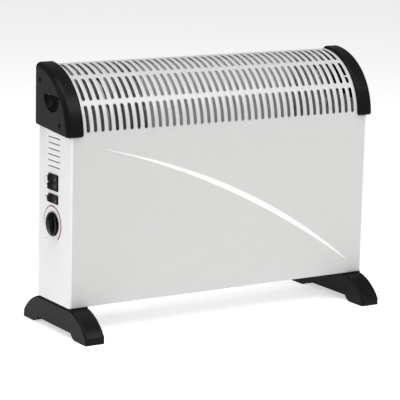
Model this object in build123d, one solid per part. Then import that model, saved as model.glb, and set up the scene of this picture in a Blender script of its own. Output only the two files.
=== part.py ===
"""Fan convector heater: a sheet-steel casing on two plastic feet, with plastic end caps.

Millimetres. X runs along the width, Y from front (-) to rear (+), Z up from the floor.
The origin is on the floor, under the middle of the casing.
"""
from build123d import *
import os
from math import cos, radians, sin, sqrt, tan

os.makedirs("parts", exist_ok=True)

# ---- Driving dimensions: casing --------------------------------------------
CASE_W = 515.0            # width over the side walls
CASE_D = 94.0             # depth over the front wall and the rear panel
BASE_Z = 43.0             # lower edge of the casing above the floor
CURVE_Z = 286.0           # height where the front wall turns into the quarter round
SHEET = 0.8               # steel sheet
EDGE_R = 4.0              # bend at the casing's front vertical edges
REAR_BEND_R = 3.0         # bend at the casing's rear top edge
RETURN_W = 12.0           # return flange behind each side wall
HEM_Z = 366.0             # lower edge of the top sheet's rear hem
TOP_SHEET_HALF = 254.0    # half width of the curved top sheet, whose ends the caps hide
SIDE_TOP_Z = 309.5        # top edge of the side walls at mid depth
SIDE_TOP_SLOPE = 0.17     # rise of that edge towards the rear

# ---- Driving dimensions: grille --------------------------------------------
SLOT_COLUMNS = 40
SLOT_PITCH = 11.75
SLOT_W = 5.4
SLOT_SWEEPS = [(4.5, 28.0), (32.4, 55.9), (60.3, 83.8)]    # degrees round the curve

# ---- Driving dimensions: end caps ------------------------------------------
CAP_INNER_X = 237.6       # where a cap begins over the casing
CAP_OUTER_X = 264.5       # its outermost face
CAP_PROUD = 4.2           # how far it stands outside the casing's curve
CAP_REAR_Y = 50.0
CAP_FRONT_Z = 287.5
CAP_REAR_Z = 295.0
CAP_WALL = 2.2
RIM_W = 12.5              # raised rim along the cap's curved edge
RIM_STEP = 1.5
SCOOP_Y = -1.0            # finger scoop: lower half of a round bowl
SCOOP_Z = 342.0
SCOOP_R = 24.5
SCOOP_DEPTH = 13.0
CAP_SCREWS = [(34.4, 359.6), (-24.7, 302.2)]    # (y, z)

# ---- Driving dimensions: feet ----------------------------------------------
FOOT_L = 190.0
FOOT_W = 31.0
FOOT_X = 241.0            # centre of each foot
FOOT_WALL = 2.6
FOOT_SHOULDER = 49.5      # where the slope begins, in front of and behind the casing
FOOT_TOP_Z = BASE_Z - 2.5
SKIRT_Z = 10.0            # height of the upright toe
PAD_L = 29.5
ARCH_Z = 8.3
ARCH_HALF = 50.0          # half length of the flat underside between the pads
SLOPE_R = 77.0            # convex slope from the casing to the toe
FOOT_SCREW_Y = 30.0

# ---- Driving dimensions: controls on the left side -------------------------
SWITCH_Y = 1.5            # centre of both switches, towards the rear
SWITCH_HALF_Y = 14.0
POWER_Z = 217.0           # centre of the twin power switch
POWER_H = 23.7
FAN_SWITCH_Z = 193.2
FAN_SWITCH_H = 13.0
BEZEL_PROUD = 1.7
ROCKER_L = 22.4
ROCKER_H = 8.6
ROCKER_GAP = 0.4          # each side of a rocker in its well
ROCKER_TILT = 11.0        # each way from level
DIAL_Y = 2.0
DIAL_Z = 156.5
DIAL_R = 17.25
KNOB_TOP_X = -265.6
VENT_Y = 1.4
VENT_ZS = [280.9, 272.5, 264.2, 255.8, 247.5, 239.1]

# ---- Driving dimensions: inside --------------------------------------------
PARTITION_X = -193.4      # left faces of the three cross plates
FAN_PLATE_X = -133.4
END_PLATE_X = 184.0
PLATE_INSET = 4.0         # gap between a cross plate and the casing's outer face
FLANGE_W = 8.0
FAN_Z = 128.0
FAN_R = 31.5
SHROUD_R = 34.0
SHAFT_R = 2.0
RUNNING_GAP = 0.03
COIL_Z = 132.0
ELEMENT_X0 = -110.0       # first mica board
ELEMENT_X1 = 165.0        # last mica board

# ---- Worked out from them --------------------------------------------------
HALF_W = CASE_W / 2
HALF_D = CASE_D / 2
CURVE_R = CASE_D
TOP_Z = CURVE_Z + CURVE_R
INNER_X = HALF_W - SHEET
INNER_Y = HALF_D - SHEET
CAP_R = CURVE_R + CAP_PROUD


# ---- Helpers ---------------------------------------------------------------
def block(x0, x1, y0, y1, z0, z1):
    """A box from its lowest to its highest corner."""
    return Pos((x0 + x1) / 2, (y0 + y1) / 2, (z0 + z1) / 2) * Box(x1 - x0, y1 - y0, z1 - z0)


def rod_x(x0, x1, y, z, radius):
    """A cylinder along X."""
    return Pos((x0 + x1) / 2, y, z) * Rot(0, 90, 0) * Cylinder(radius, abs(x1 - x0))


def rod_y(x, y0, y1, z, radius):
    """A cylinder along Y."""
    return Pos(x, (y0 + y1) / 2, z) * Rot(90, 0, 0) * Cylinder(radius, abs(y1 - y0))


def rod_z(x, y, z0, z1, radius):
    """A cylinder along Z."""
    return Pos(x, y, (z0 + z1) / 2) * Cylinder(radius, abs(z1 - z0))


def along_x(outline, x0, x1):
    """A side outline, drawn as (y, z), drawn out from x0 to x1."""
    return extrude(Plane.YZ.offset(x0) * outline, x1 - x0)


def side_outline(inset=0.0, bottom=BASE_Z):
    """Side view of the casing, moved inwards by inset."""
    front = -HALF_D + inset
    rear = HALF_D - inset
    radius = CURVE_R - inset
    reach = sqrt(radius**2 - inset**2)
    shoulder = (HALF_D - radius * cos(radians(45)), CURVE_Z + radius * sin(radians(45)))
    edges = [
        Line((front, bottom), (front, CURVE_Z)),
        ThreePointArc((front, CURVE_Z), shoulder, (rear, CURVE_Z + reach)),
        Line((rear, CURVE_Z + reach), (rear, bottom)),
        Line((rear, bottom), (front, bottom)),
    ]
    face = make_face(edges)
    corner = face.vertices().sort_by_distance((rear, CURVE_Z + reach, 0))[0]
    return fillet(corner, max(REAR_BEND_R - inset, 0.4))


def wire(points, radius, bend):
    """A round wire along straight runs joined by arcs."""
    path = FilletPolyline(*points, radius=bend)
    section = Plane(origin=path @ 0, z_dir=path % 0) * Circle(radius)
    return sweep(section, path=path)


def save(name, solid):
    """Write one sub-part."""
    export_step(solid, f"parts/{name}.step")


def group(solids):
    """Separate like solids that share a node."""
    return Compound(children=[part for solid in solids for part in solid.solids()])


# ---- Casing ----------------------------------------------------------------
def casing_plan(inset, rear):
    """Plan view of the bent front and sides."""
    half = HALF_W - inset
    front = -HALF_D + inset
    face = Pos(0, (rear + front) / 2) * Rectangle(2 * half, rear - front)
    return fillet(face.vertices().group_by(Axis.Y)[0], EDGE_R - inset)


def grille_cutters():
    """Round-ended slots, cut square to the curve."""
    cutters = []
    for start, end in SLOT_SWEEPS:
        middle = radians((start + end) / 2)
        length = 2 * CURVE_R * sin(radians(end - start) / 2)
        centre = (0, HALF_D - CURVE_R * cos(middle), CURVE_Z + CURVE_R * sin(middle))
        plane = Plane(origin=centre, x_dir=(0, sin(middle), cos(middle)),
                      z_dir=(0, -cos(middle), sin(middle)))
        slot = extrude(plane * SlotOverall(length, SLOT_W), 4, both=True)
        for column in range(SLOT_COLUMNS):
            x = (column - (SLOT_COLUMNS - 1) / 2) * SLOT_PITCH
            cutters.append(Pos(x, 0, 0) * slot)
    return cutters


def side_wall_trim():
    """What is cut from above the side walls, leaving tabs for the cap screws."""
    low = SIDE_TOP_Z - SIDE_TOP_SLOPE * (HALF_D + 1)
    high = SIDE_TOP_Z + SIDE_TOP_SLOPE * (HALF_D + 1)
    above = Polyline((-HALF_D - 1, low), (HALF_D + 1, high), (HALF_D + 1, TOP_Z + 9),
                     (-HALF_D - 1, TOP_Z + 9), close=True)
    trim = along_x(make_face(above), -HALF_W - 1, HALF_W + 1)
    for sign in (-1, 1):
        wall = (min(sign * 256.0, sign * 259.0), max(sign * 256.0, sign * 259.0))
        trim -= block(*wall, 26.0, 41.0, 300.0, 370.0)
        trim -= block(*wall, -34.0, -21.0, 295.0, 311.5)
    return trim


def control_cutouts():
    """Openings in the left wall for the vents, the switches and the dial."""
    x0, x1 = -HALF_W - 1, -INNER_X + 1
    cuts = [block(x0, x1, VENT_Y - 17.5, VENT_Y + 17.5, z - 0.7, z + 0.7) for z in VENT_ZS]
    for z, height in ((POWER_Z, POWER_H), (FAN_SWITCH_Z, FAN_SWITCH_H)):
        cuts.append(block(x0, x1, SWITCH_Y - 13.2, SWITCH_Y + 13.2,
                          z - height / 2 + 0.7, z + height / 2 - 0.7))
    cuts.append(rod_x(x0, x1, DIAL_Y, DIAL_Z, 5.0))
    cuts += [rod_x(x0, x1, DIAL_Y, DIAL_Z + dz, 1.6) for dz in (-10, 10)]
    return cuts


def front_casing():
    """Front, both sides and the grille top, bent from one sheet."""
    rear = INNER_Y
    bent = extrude(Pos(0, 0, BASE_Z) * casing_plan(0, rear), 340)
    bent -= extrude(Pos(0, 0, BASE_Z) * casing_plan(SHEET, rear - SHEET), 340)
    bent -= block(-INNER_X + RETURN_W, INNER_X - RETURN_W, 30, HALF_D, 0, TOP_Z + 9)
    bent -= block(-HALF_W - 1, HALF_W + 1, -HALF_D - 1, -40, CURVE_Z, TOP_Z + 9)
    bent -= block(-INNER_X, INNER_X, 40, HALF_D, 330, TOP_Z + 9)
    bent -= side_wall_trim()
    curve = along_x(side_outline(), -TOP_SHEET_HALF, TOP_SHEET_HALF)
    curve -= along_x(side_outline(SHEET, BASE_Z - 5), -TOP_SHEET_HALF - 1, TOP_SHEET_HALF + 1)
    curve -= block(-HALF_W, HALF_W, -HALF_D - 1, 0, 0, CURVE_Z)
    curve -= block(-HALF_W, HALF_W, 0, HALF_D + 1, 0, HEM_Z)
    sheet = bent + curve
    sheet -= grille_cutters()
    sheet -= control_cutouts()
    for sign in (-1, 1):
        sheet -= [rod_x(sign * 250, sign * 260, y, z, 1.5) for y, z in CAP_SCREWS]
        sheet -= [rod_y(x, 40, 50, z, 1.5) for x, z in REAR_SCREWS if x * sign > 200]
    return sheet


REAR_SCREWS = [(sign * 250.7, z) for sign in (-1, 1) for z in (66.0, 180.0, 286.0)]
REAR_SCREWS += [(-120.0, 50.0), (120.0, 50.0)]
GLAND_X = -232.0
GLAND_Z = 74.0
GLAND_HOLE_R = 5.8
RIVETS = [(x + SHEET + 4.0, z) for x in (PARTITION_X, FAN_PLATE_X, END_PLATE_X) for z in (90.0, 250.0)]


def rear_panel():
    """Flat rear sheet, whose joggled top tucks behind the hem, with two fields of intake slots."""
    panel = block(-256.9, 256.9, INNER_Y, HALF_D, BASE_Z, HEM_Z - 0.5)
    panel += block(-235, 235, INNER_Y - SHEET, INNER_Y, HEM_Z - 8, HEM_Z + 8)
    for column in range(-3, 4):
        for row in range(6):
            x = column * 56.0
            z = 96.0 + row * 11.0
            slot = Plane(origin=(x, HALF_D, z), x_dir=(1, 0, 0), z_dir=(0, 1, 0)) * SlotOverall(36, 4)
            panel -= extrude(slot, 3, both=True)
    panel -= [rod_y(x, 44, 50, z, 1.6) for x, z in REAR_SCREWS]
    panel -= [rod_y(x, 44, 50, z, 1.6) for x, z in RIVETS]
    panel -= rod_y(GLAND_X, 44, 50, GLAND_Z, GLAND_HOLE_R)
    return panel


def bottom_plate():
    """Slotted floor of the casing, with turned-up front and rear edges."""
    floor = Pos(0, 0, BASE_Z) * fillet(
        Rectangle(2 * INNER_X, 2 * INNER_Y).vertices().group_by(Axis.Y)[0], EDGE_R)
    plate = extrude(floor, SHEET)
    corner_x = INNER_X - RETURN_W - 1.2
    for sign in (-1, 1):
        x0, x1 = sorted((sign * corner_x, sign * (INNER_X + 1)))
        plate -= block(x0, x1, INNER_Y - SHEET - 0.05, INNER_Y + 1, 0, 60)
    plate += block(-240, 240, -INNER_Y, -INNER_Y + SHEET, BASE_Z, BASE_Z + 12)
    plate += block(-240, 240, INNER_Y - SHEET, INNER_Y, BASE_Z, BASE_Z + 12)
    slot = extrude(Pos(0, 0, BASE_Z - 1) * Rot(0, 0, 90) * SlotOverall(32, 5), 4)
    for column in range(-15, 16):
        plate -= [Pos(column * 12.0, y, 0) * slot for y in (-21.0, 21.0)]
    plate -= [rod_z(x, y, 40, 50, 1.95) for x, y in foot_screw_places()]
    plate -= [rod_y(x, 44, 50, z, 1.5) for x, z in REAR_SCREWS if abs(x) < 200]
    plate -= rod_z(BLOCK_X, BLOCK_Y, 40, 50, 1.5)
    return plate


def rear_panel_screws():
    """Pan-head screws that hold the rear panel."""
    return group([rod_y(x, HALF_D, HALF_D + 1.8, z, 3.2) + rod_y(x, 39, HALF_D, z, 1.45)
                  for x, z in REAR_SCREWS])


def cord_gland():
    """Bush in the rear panel that the supply cord passes through."""
    gland = rod_y(GLAND_X, 37, HALF_D + 3, GLAND_Z, GLAND_HOLE_R - 0.1)
    gland += rod_y(GLAND_X, HALF_D, HALF_D + 3, GLAND_Z, 8.0)
    gland = fillet(gland.edges().filter_by(GeomType.CIRCLE).sort_by(Axis.Y)[-1], 1.0)
    gland += rod_y(GLAND_X, 41, INNER_Y, GLAND_Z, 7.0)
    return gland - rod_y(GLAND_X, 30, 60, GLAND_Z, 3.6)


# ---- End caps --------------------------------------------------------------
def cap_outline(inset=0.0):
    """Side view of an end cap: the casing's curve, stood proud, with a sloping lower edge."""
    radius = CAP_R - inset
    rear = CAP_REAR_Y - inset
    front_z = CAP_FRONT_Z + inset
    rear_z = CAP_REAR_Z + inset
    front = HALF_D - sqrt(radius**2 - (front_z - CURVE_Z)**2)
    top = CURVE_Z + sqrt(radius**2 - (rear - HALF_D)**2)
    shoulder = (HALF_D - radius * cos(radians(45)), CURVE_Z + radius * sin(radians(45)))
    face = make_face([
        Line((rear, rear_z), (front, front_z)),
        ThreePointArc((front, front_z), shoulder, (rear, top)),
        Line((rear, top), (rear, rear_z)),
    ])
    corner = face.vertices().sort_by_distance((rear, top, 0))[0]
    return fillet(corner, 9.0 - inset)


def scoop_bowl(grow):
    """Inner half of a flattened ball, centred on the cap's end face."""
    depth = SCOOP_DEPTH + grow
    radius = SCOOP_R + grow
    quarter = Ellipse(depth, radius) & Pos(-depth / 2, radius / 2) * Rectangle(depth, radius)
    ball = revolve(quarter, Axis.X)
    return Pos(CAP_OUTER_X, SCOOP_Y, SCOOP_Z) * ball


def right_end_cap():
    """Moulded cap over the casing's top right corner."""
    cap = along_x(cap_outline(), CAP_INNER_X, CAP_OUTER_X)
    lower_inner = cap.edges().filter_by(GeomType.LINE).group_by(Axis.X)[0].sort_by(Axis.Z)[0]
    cap = fillet(lower_inner, 4.0)
    cap = fillet(cap.edges().filter_by(GeomType.CIRCLE).group_by(Axis.X)[-1], 7.0)
    lower_front = [e for e in cap.edges().filter_by(Axis.X) if e.center().Y < -CASE_D / 2]
    cap = fillet(lower_front, 3.0)
    inner_x = CAP_OUTER_X - RIM_STEP - CAP_WALL
    recess = Pos(HALF_D, CURVE_Z) * Circle(CAP_R - RIM_W) + Pos(HALF_D + 50, 340) * Rectangle(100, 200)
    recess_cut = along_x(recess, CAP_OUTER_X - RIM_STEP, CAP_OUTER_X + 5)
    recess_cut -= block(200, 300, -100, 100, CAP_R + CURVE_Z - RIM_W, 500)
    cap -= recess_cut
    cap -= along_x(cap_outline(CAP_WALL), CAP_INNER_X + CAP_WALL, inner_x)
    cap -= along_x(side_outline(-0.1, 200), CAP_INNER_X - 5, HALF_W + 0.1)
    bowl = block(200, CAP_OUTER_X - RIM_STEP, -80, 80, 250, SCOOP_Z + CAP_WALL)
    cap += scoop_bowl(CAP_WALL) & bowl
    cap -= scoop_bowl(0) & block(200, 300, -80, 80, 250, SCOOP_Z)
    cap -= block(235, 275, SCOOP_Y - 11, SCOOP_Y + 23, SCOOP_Z - 2.4, SCOOP_Z)
    for y, z in CAP_SCREWS:
        cap += rod_x(HALF_W + 0.1, inner_x + 0.5, y, z, 4.8)
        cap -= rod_x(260.5, 270, y, z, 3.5)
        cap -= rod_x(250, 270, y, z, 1.6)
    return cap


def end_cap_screws():
    """Self-tapping screws sunk in the caps' round recesses."""
    screws = []
    for sign in (-1, 1):
        for y, z in CAP_SCREWS:
            head = rod_x(sign * 260.5, sign * 262.2, y, z, 2.8)
            screws.append(head + rod_x(sign * 247, sign * 260.5, y, z, 1.45))
    return group(screws)


# ---- Feet ------------------------------------------------------------------
def foot_side():
    """Side view of a foot without its arch, drawn as (y, z)."""
    toe = FOOT_L / 2
    face = make_face([
        Line((-FOOT_SHOULDER, FOOT_TOP_Z), (FOOT_SHOULDER, FOOT_TOP_Z)),
        RadiusArc((FOOT_SHOULDER, FOOT_TOP_Z), (toe, SKIRT_Z), SLOPE_R),
        Polyline((toe, SKIRT_Z), (toe, 0), (-toe, 0), (-toe, SKIRT_Z)),
        RadiusArc((-toe, SKIRT_Z), (-FOOT_SHOULDER, FOOT_TOP_Z), SLOPE_R),
    ])
    shoulders = [v for v in face.vertices() if v.Y > FOOT_TOP_Z - 1]
    face = fillet(shoulders, 12.0)
    toes = [v for v in face.vertices() if abs(v.Y - SKIRT_Z) < 0.01]
    return fillet(toes, 1.5)


def foot_arch():
    """Side view of the space between the two pads."""
    pad = FOOT_L / 2 - PAD_L
    arch_r = ((pad - ARCH_HALF)**2 + ARCH_Z**2) / (2 * ARCH_Z)
    return make_face([
        Line((-pad, 0), (pad, 0)),
        RadiusArc((pad, 0), (ARCH_HALF, ARCH_Z), arch_r),
        Line((ARCH_HALF, ARCH_Z), (-ARCH_HALF, ARCH_Z)),
        RadiusArc((-ARCH_HALF, ARCH_Z), (-pad, 0), arch_r),
    ])


def foot_screw_places():
    """Centres of the four foot screws, as (x, y)."""
    return [(sx * FOOT_X, sy * FOOT_SCREW_Y) for sx in (-1, 1) for sy in (-1, 1)]


def right_foot():
    """Arched foot, hollow and ribbed underneath."""
    x0, x1 = FOOT_X - FOOT_W / 2, FOOT_X + FOOT_W / 2
    outer = along_x(foot_side(), x0, x1)
    rims = [e for e in outer.edges() if abs(abs(e.center().X - FOOT_X) - FOOT_W / 2) < 0.01]
    outer = fillet([e for e in rims if e.center().Z > 0.5], 2.5)
    outer -= along_x(foot_arch(), x0 - 1, x1 + 1)
    hollow_side = offset(foot_side(), amount=-FOOT_WALL, kind=Kind.INTERSECTION)
    hollow_side += Pos(0, -1) * Rectangle(FOOT_L - 2 * FOOT_WALL, 14)
    hollow = along_x(hollow_side, x0 + FOOT_WALL, x1 - FOOT_WALL)
    ribs = block(FOOT_X - 0.9, FOOT_X + 0.9, -92, 92, 0, 40)
    for y in (-82, -64, -46, -15, 0, 15, 46, 64, 82):
        ribs += block(x0 + 1, x1 - 1, y - 0.9, y + 0.9, 0, 40)
    ribs -= block(x0, x1, -40, 40, 0, 24)
    foot = (outer - hollow) + (ribs & outer)
    foot += block(x0 + 1.5, x1 - 1.5, -47.5, 47.5, FOOT_TOP_Z - 0.5, BASE_Z)
    for y in (-FOOT_SCREW_Y, FOOT_SCREW_Y):
        foot += rod_z(FOOT_X, y, 36, 40, 5.5)
        foot -= rod_z(FOOT_X, y, 20, 36, 4.5)
        foot -= rod_z(FOOT_X, y, 20, 50, 2.1)
    return foot


def foot_screws():
    """Screws up through the feet into the bottom plate."""
    return group([rod_z(x, y, 33.6, 36, 3.6) + rod_z(x, y, 36, 51, 1.9)
                  for x, y in foot_screw_places()])


# ---- Switches --------------------------------------------------------------
PIVOT_IN = 1.44           # rocker pivot, inside the wall's outer face
PIVOT_X = -HALF_W + PIVOT_IN
RIB = 1.3                 # wall between the twin switch's rockers
ROCKER_STEP = ROCKER_H / 2 + ROCKER_GAP + RIB / 2
POWER_ROCKER_ZS = [POWER_Z + ROCKER_STEP, POWER_Z - ROCKER_STEP]


def switch_housing(z, height, rocker_zs):
    """Bezel and snap-in box with a well for each rocker."""
    bezel = block(-HALF_W - BEZEL_PROUD, -HALF_W, SWITCH_Y - SWITCH_HALF_Y, SWITCH_Y + SWITCH_HALF_Y,
                  z - height / 2, z + height / 2)
    bezel = fillet(bezel.edges().filter_by(Axis.X), 1.2)
    bezel = fillet(bezel.faces().sort_by(Axis.X)[0].edges(), 0.6)
    housing = bezel + block(-HALF_W, -241.5, SWITCH_Y - 13, SWITCH_Y + 13,
                            z - height / 2 + 0.8, z + height / 2 - 0.8)
    for rocker_z in rocker_zs:
        low, high = rocker_z - ROCKER_H / 2, rocker_z + ROCKER_H / 2
        housing -= block(-HALF_W - 5, -248.5, SWITCH_Y - 12.4, SWITCH_Y + 12.4,
                         low - ROCKER_GAP, high + ROCKER_GAP)
        housing -= rod_z(PIVOT_X, SWITCH_Y, low - 0.9, high + 0.9, 1.05)
    return housing


def rocker(z):
    """Rocker with a shallow V across its face, at rest with its front end pressed in."""
    half = ROCKER_L / 2
    rise = half * tan(radians(ROCKER_TILT))
    deck = 3.0
    outline = make_face(Polyline(
        (-deck, 0), (-deck - rise, half), (0.5, half - 0.8), (3.0, 4.0),
        (3.0, -4.0), (0.5, -half + 0.8), (-deck - rise, -half), close=True))
    body = extrude(Pos(0, 0, z - ROCKER_H / 2) * outline, ROCKER_H)
    rims = body.edges().filter_by(Axis.Z).group_by(Axis.X)[0]
    body = fillet(rims, 0.8)
    body += rod_z(0, 0, z - ROCKER_H / 2 - 0.85, z + ROCKER_H / 2 + 0.85, 1.0)
    return Pos(PIVOT_X, SWITCH_Y, 0) * Rot(0, 0, ROCKER_TILT) * body


LENS_Y = SWITCH_Y - 8.6
LENS_Z = FAN_SWITCH_Z - 2.4
LENS_R = 1.3


def fan_switch_rocker():
    """Fan rocker, with a pocket for its red marker."""
    return rocker(FAN_SWITCH_Z) - rod_x(-262, -258.2, LENS_Y, LENS_Z, LENS_R)


def fan_rocker_marker():
    """Red marker let into the pressed end of the fan rocker."""
    return rod_x(-259.2, -258.2, LENS_Y, LENS_Z, LENS_R)


def switch_terminals():
    """Blade terminals at the back of both switches."""
    places = [(y, z) for z in POWER_ROCKER_ZS + [FAN_SWITCH_Z] for y in (SWITCH_Y - 6, SWITCH_Y + 6)]
    return group([block(-241.5, -231.5, y - 0.4, y + 0.4, z - 2.4, z + 2.4) for y, z in places])


# ---- Thermostat ------------------------------------------------------------
def thermostat_base():
    """Insulating block with a bush for the spindle and two terminals."""
    base = block(-INNER_X, -246.7, DIAL_Y - 13, DIAL_Y + 13, DIAL_Z - 15, DIAL_Z + 15)
    base = fillet(base.edges().filter_by(Axis.X), 2.0)
    base += rod_x(-HALF_W - 0.2, -INNER_X, DIAL_Y, DIAL_Z, 4.8)
    base -= rod_x(-260, -240, DIAL_Y, DIAL_Z, 3.05)
    base -= [rod_x(-260, -240, DIAL_Y, DIAL_Z + dz, 1.45) for dz in (-10, 10)]
    return base


def thermostat_spindle():
    """Spindle with a flat where the knob sits."""
    spindle = rod_x(-262.6, -244.0, DIAL_Y, DIAL_Z, 3.0)
    spindle -= block(-263, -258.6, DIAL_Y - 4, DIAL_Y + 4, DIAL_Z - 4, DIAL_Z - 1.8)
    return spindle + rod_x(-246.4, -244.0, DIAL_Y, DIAL_Z, 4.5)


def thermostat_knob():
    """Round knob with a grip bar across it, arched from rim to rim."""
    knob = rod_x(-261.4, -258.1, DIAL_Y, DIAL_Z, DIAL_R)
    knob = fillet(knob.edges().filter_by(GeomType.CIRCLE).sort_by(Axis.X)[0], 1.6)
    foot = Plane(origin=(-260.5, DIAL_Y, DIAL_Z), x_dir=(0, 0, 1), z_dir=(-1, 0, 0))
    bar = extrude(foot * SlotOverall(2 * DIAL_R - 1.6, 11.0), 6.0, taper=12)
    bar = bar & rod_y(KNOB_TOP_X + 32.5, DIAL_Y - 20, DIAL_Y + 20, DIAL_Z, 32.5)
    bar = fillet(bar.faces().sort_by(Axis.X)[0].edges(), 0.6)
    knob += bar
    knob -= rod_x(-259.9, -257, DIAL_Y, DIAL_Z, DIAL_R - 1.8)
    knob += rod_x(-260.5, -258.1, DIAL_Y, DIAL_Z, 5.6)
    bore = rod_x(-262.6, -257, DIAL_Y, DIAL_Z, 3.0)
    bore -= block(-263, -258.6, DIAL_Y - 4, DIAL_Y + 4, DIAL_Z - 4, DIAL_Z - 1.8)
    return knob - bore


def thermostat_screws():
    """Two screws behind the knob."""
    return group([rod_x(-259.4, -HALF_W, DIAL_Y, DIAL_Z + dz, 2.6)
                  + rod_x(-HALF_W, -248.5, DIAL_Y, DIAL_Z + dz, 1.4) for dz in (-10, 10)])


def thermostat_bimetal():
    """Bimetal strip on a post, and its fixed contact blade."""
    strip = block(-243.2, -242.4, DIAL_Y - 4, DIAL_Y + 4, DIAL_Z - 12, DIAL_Z + 13)
    post = rod_x(-246.7, -243.2, DIAL_Y, DIAL_Z + 10, 2.2)
    return strip + post


def thermostat_terminals():
    """Two blades that point down from the block."""
    return group([block(-250.4, -249.6, y - 2.4, y + 2.4, 133, DIAL_Z - 15)
                  for y in (DIAL_Y - 8, DIAL_Y + 8)])


# ---- Cross plates ----------------------------------------------------------
def cross_plate(x):
    """Upright plate across the casing, with a front flange that follows the curve."""
    plate = along_x(side_outline(PLATE_INSET, BASE_Z + SHEET), x, x + SHEET)
    plate += block(x, x + SHEET, 0, INNER_Y, BASE_Z + SHEET, HEM_Z - 12)
    flange = along_x(side_outline(PLATE_INSET, BASE_Z + 20), x, x + FLANGE_W)
    flange -= along_x(side_outline(PLATE_INSET + SHEET, BASE_Z), x - 1, x + FLANGE_W + 1)
    flange -= block(x - 1, x + 10, 0, HALF_D, 0, 350)
    flange -= block(x - 1, x + 10, 35, HALF_D, 0, TOP_Z)
    flange -= block(x - 1, x + 10, -HALF_D, 0, 0, BASE_Z + 22)
    rear = block(x, x + FLANGE_W, INNER_Y - SHEET, INNER_Y, BASE_Z + 14, 340)
    plate = plate + flange + rear - block(x - 1, x + 1, INNER_Y - 1, HALF_D, 0, BASE_Z + 13)
    plate -= [rod_y(rx, 40, 50, rz, 1.6) for rx, rz in RIVETS]
    return plate


GROMMETS = [(PARTITION_X, 30.0, 84.0), (PARTITION_X, -30.0, 190.0), (FAN_PLATE_X, 30.0, 84.0)]
GROMMET_HOLE_R = 5.0
SLEEVE_R = 2.8


def control_bay_partition():
    """Plate that keeps the heat away from the controls."""
    plate = cross_plate(PARTITION_X)
    for x, y, z in GROMMETS[:2]:
        plate -= rod_x(x - 2, x + 3, y, z, GROMMET_HOLE_R)
    return plate


SHROUD_SCREW_ANGLES = (30, 150, 270)


def shroud_screw_places():
    """Centres of the shroud's screws, as (y, z)."""
    return [(37.6 * cos(radians(a)), FAN_Z + 37.6 * sin(radians(a))) for a in SHROUD_SCREW_ANGLES]


def fan_plate():
    """Plate with the fan's opening."""
    plate = cross_plate(FAN_PLATE_X) - rod_x(FAN_PLATE_X - 2, FAN_PLATE_X + 3, 0, FAN_Z, SHROUD_R)
    plate -= rod_x(FAN_PLATE_X - 2, FAN_PLATE_X + 3, *GROMMETS[2][1:], GROMMET_HOLE_R)
    plate -= [rod_x(FAN_PLATE_X - 2, FAN_PLATE_X + 3, y, z, 1.5) for y, z in shroud_screw_places()]
    return plate


def plate_rivets():
    """Blind rivets that hold the cross plates to the rear panel."""
    return group([rod_y(x, HALF_D, HALF_D + 0.9, z, 3.0) + rod_y(x, 44.0, HALF_D, z, 1.55)
                  + rod_y(x, 43.6, INNER_Y - SHEET, z, 2.5) for x, z in RIVETS])


def wire_grommets():
    """Grommets where sleeves pass through the plates."""
    rings = []
    for x, y, z in GROMMETS:
        ring = rod_x(x - 1.6, x, y, z, 6.6) + rod_x(x, x + SHEET, y, z, GROMMET_HOLE_R - 0.05)
        ring += rod_x(x + SHEET, x + SHEET + 1.6, y, z, 6.6)
        rings.append(ring - rod_x(x - 4, x + 5, y, z, SLEEVE_R + 0.15))
    return group(rings)


# ---- Heating element -------------------------------------------------------
RAIL_Y = 40.0
COIL_R = 4.0
LOW_COIL_YS = (-28.0, -10.0)
HIGH_COIL_YS = (10.0, 28.0)


def element_rails():
    """Two angle strips from the fan plate to the end plate."""
    rails = []
    for sign in (-1, 1):
        y0, y1 = sorted((sign * RAIL_Y, sign * (RAIL_Y + 1)))
        f0, f1 = sorted((sign * (RAIL_Y - 9), sign * (RAIL_Y + 1)))
        x0, x1 = FAN_PLATE_X + SHEET, END_PLATE_X
        rails.append(block(x0, x1, y0, y1, 110, 121) + block(x0, x1, f0, f1, 110, 111))
    return group(rails)


def mica_boards():
    """Five upright boards that carry the coils."""
    boards = []
    span = ELEMENT_X1 - ELEMENT_X0
    for index in range(5):
        x = ELEMENT_X0 + index * span / 4
        board = block(x, x + 1, -39.9, 39.9, 111, 150)
        for y in LOW_COIL_YS + HIGH_COIL_YS:
            board -= rod_x(x - 1, x + 2, y, COIL_Z, COIL_R + 0.3)
        if index == 0:
            board -= [rod_x(x - 1, x + 2, y, STUD_Z, 1.5) for y in LOW_COIL_YS + HIGH_COIL_YS]
        boards.append(board)
    return group(boards)


STUD_Z = 143.5


def heating_coil(ys):
    """Outer shape of one wound resistance coil: out, a turn at the far end, and back."""
    near, far = ELEMENT_X0 - 6, ELEMENT_X1 + 4
    middle = sum(ys) / 2
    turn_r = (ys[1] - ys[0]) / 2
    section = Pos(far, ys[1], COIL_Z) * Rot(0, 90, 0) * Circle(COIL_R)
    turn = revolve(section, Axis((far, middle, COIL_Z), (0, 0, -1)), 180)
    return turn + rod_x(near, far, ys[0], COIL_Z, COIL_R) + rod_x(near, far, ys[1], COIL_Z, COIL_R)


def element_studs():
    """Terminal studs with nuts on the first board."""
    studs = []
    for y in LOW_COIL_YS + HIGH_COIL_YS:
        stud = rod_x(ELEMENT_X0 - 12, ELEMENT_X0 + 5, y, STUD_Z, 1.45)
        nut = Pos(ELEMENT_X0 - 1.2, y, STUD_Z) * Rot(0, 90, 0) * extrude(RegularPolygon(3.0, 6), 1.2, both=True)
        studs.append(stud + nut)
    return group(studs)


def cutout_bracket():
    """Angle that holds the thermal cutout above the element."""
    x0 = FAN_PLATE_X + SHEET
    return block(x0, x0 + 1, -8, 8, 172, 190) + block(x0, x0 + 36, -8, 8, 172, 173)


def thermal_cutout():
    """Disc cutout with two blades."""
    x = FAN_PLATE_X + 24
    body = rod_z(x, 0, 173, 179, 8.0) + rod_z(x, 0, 179, 184, 6.0)
    return body + block(x - 12, x - 5, -3, 3, 181, 181.8) + block(x + 5, x + 12, -3, 3, 181, 181.8)


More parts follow.
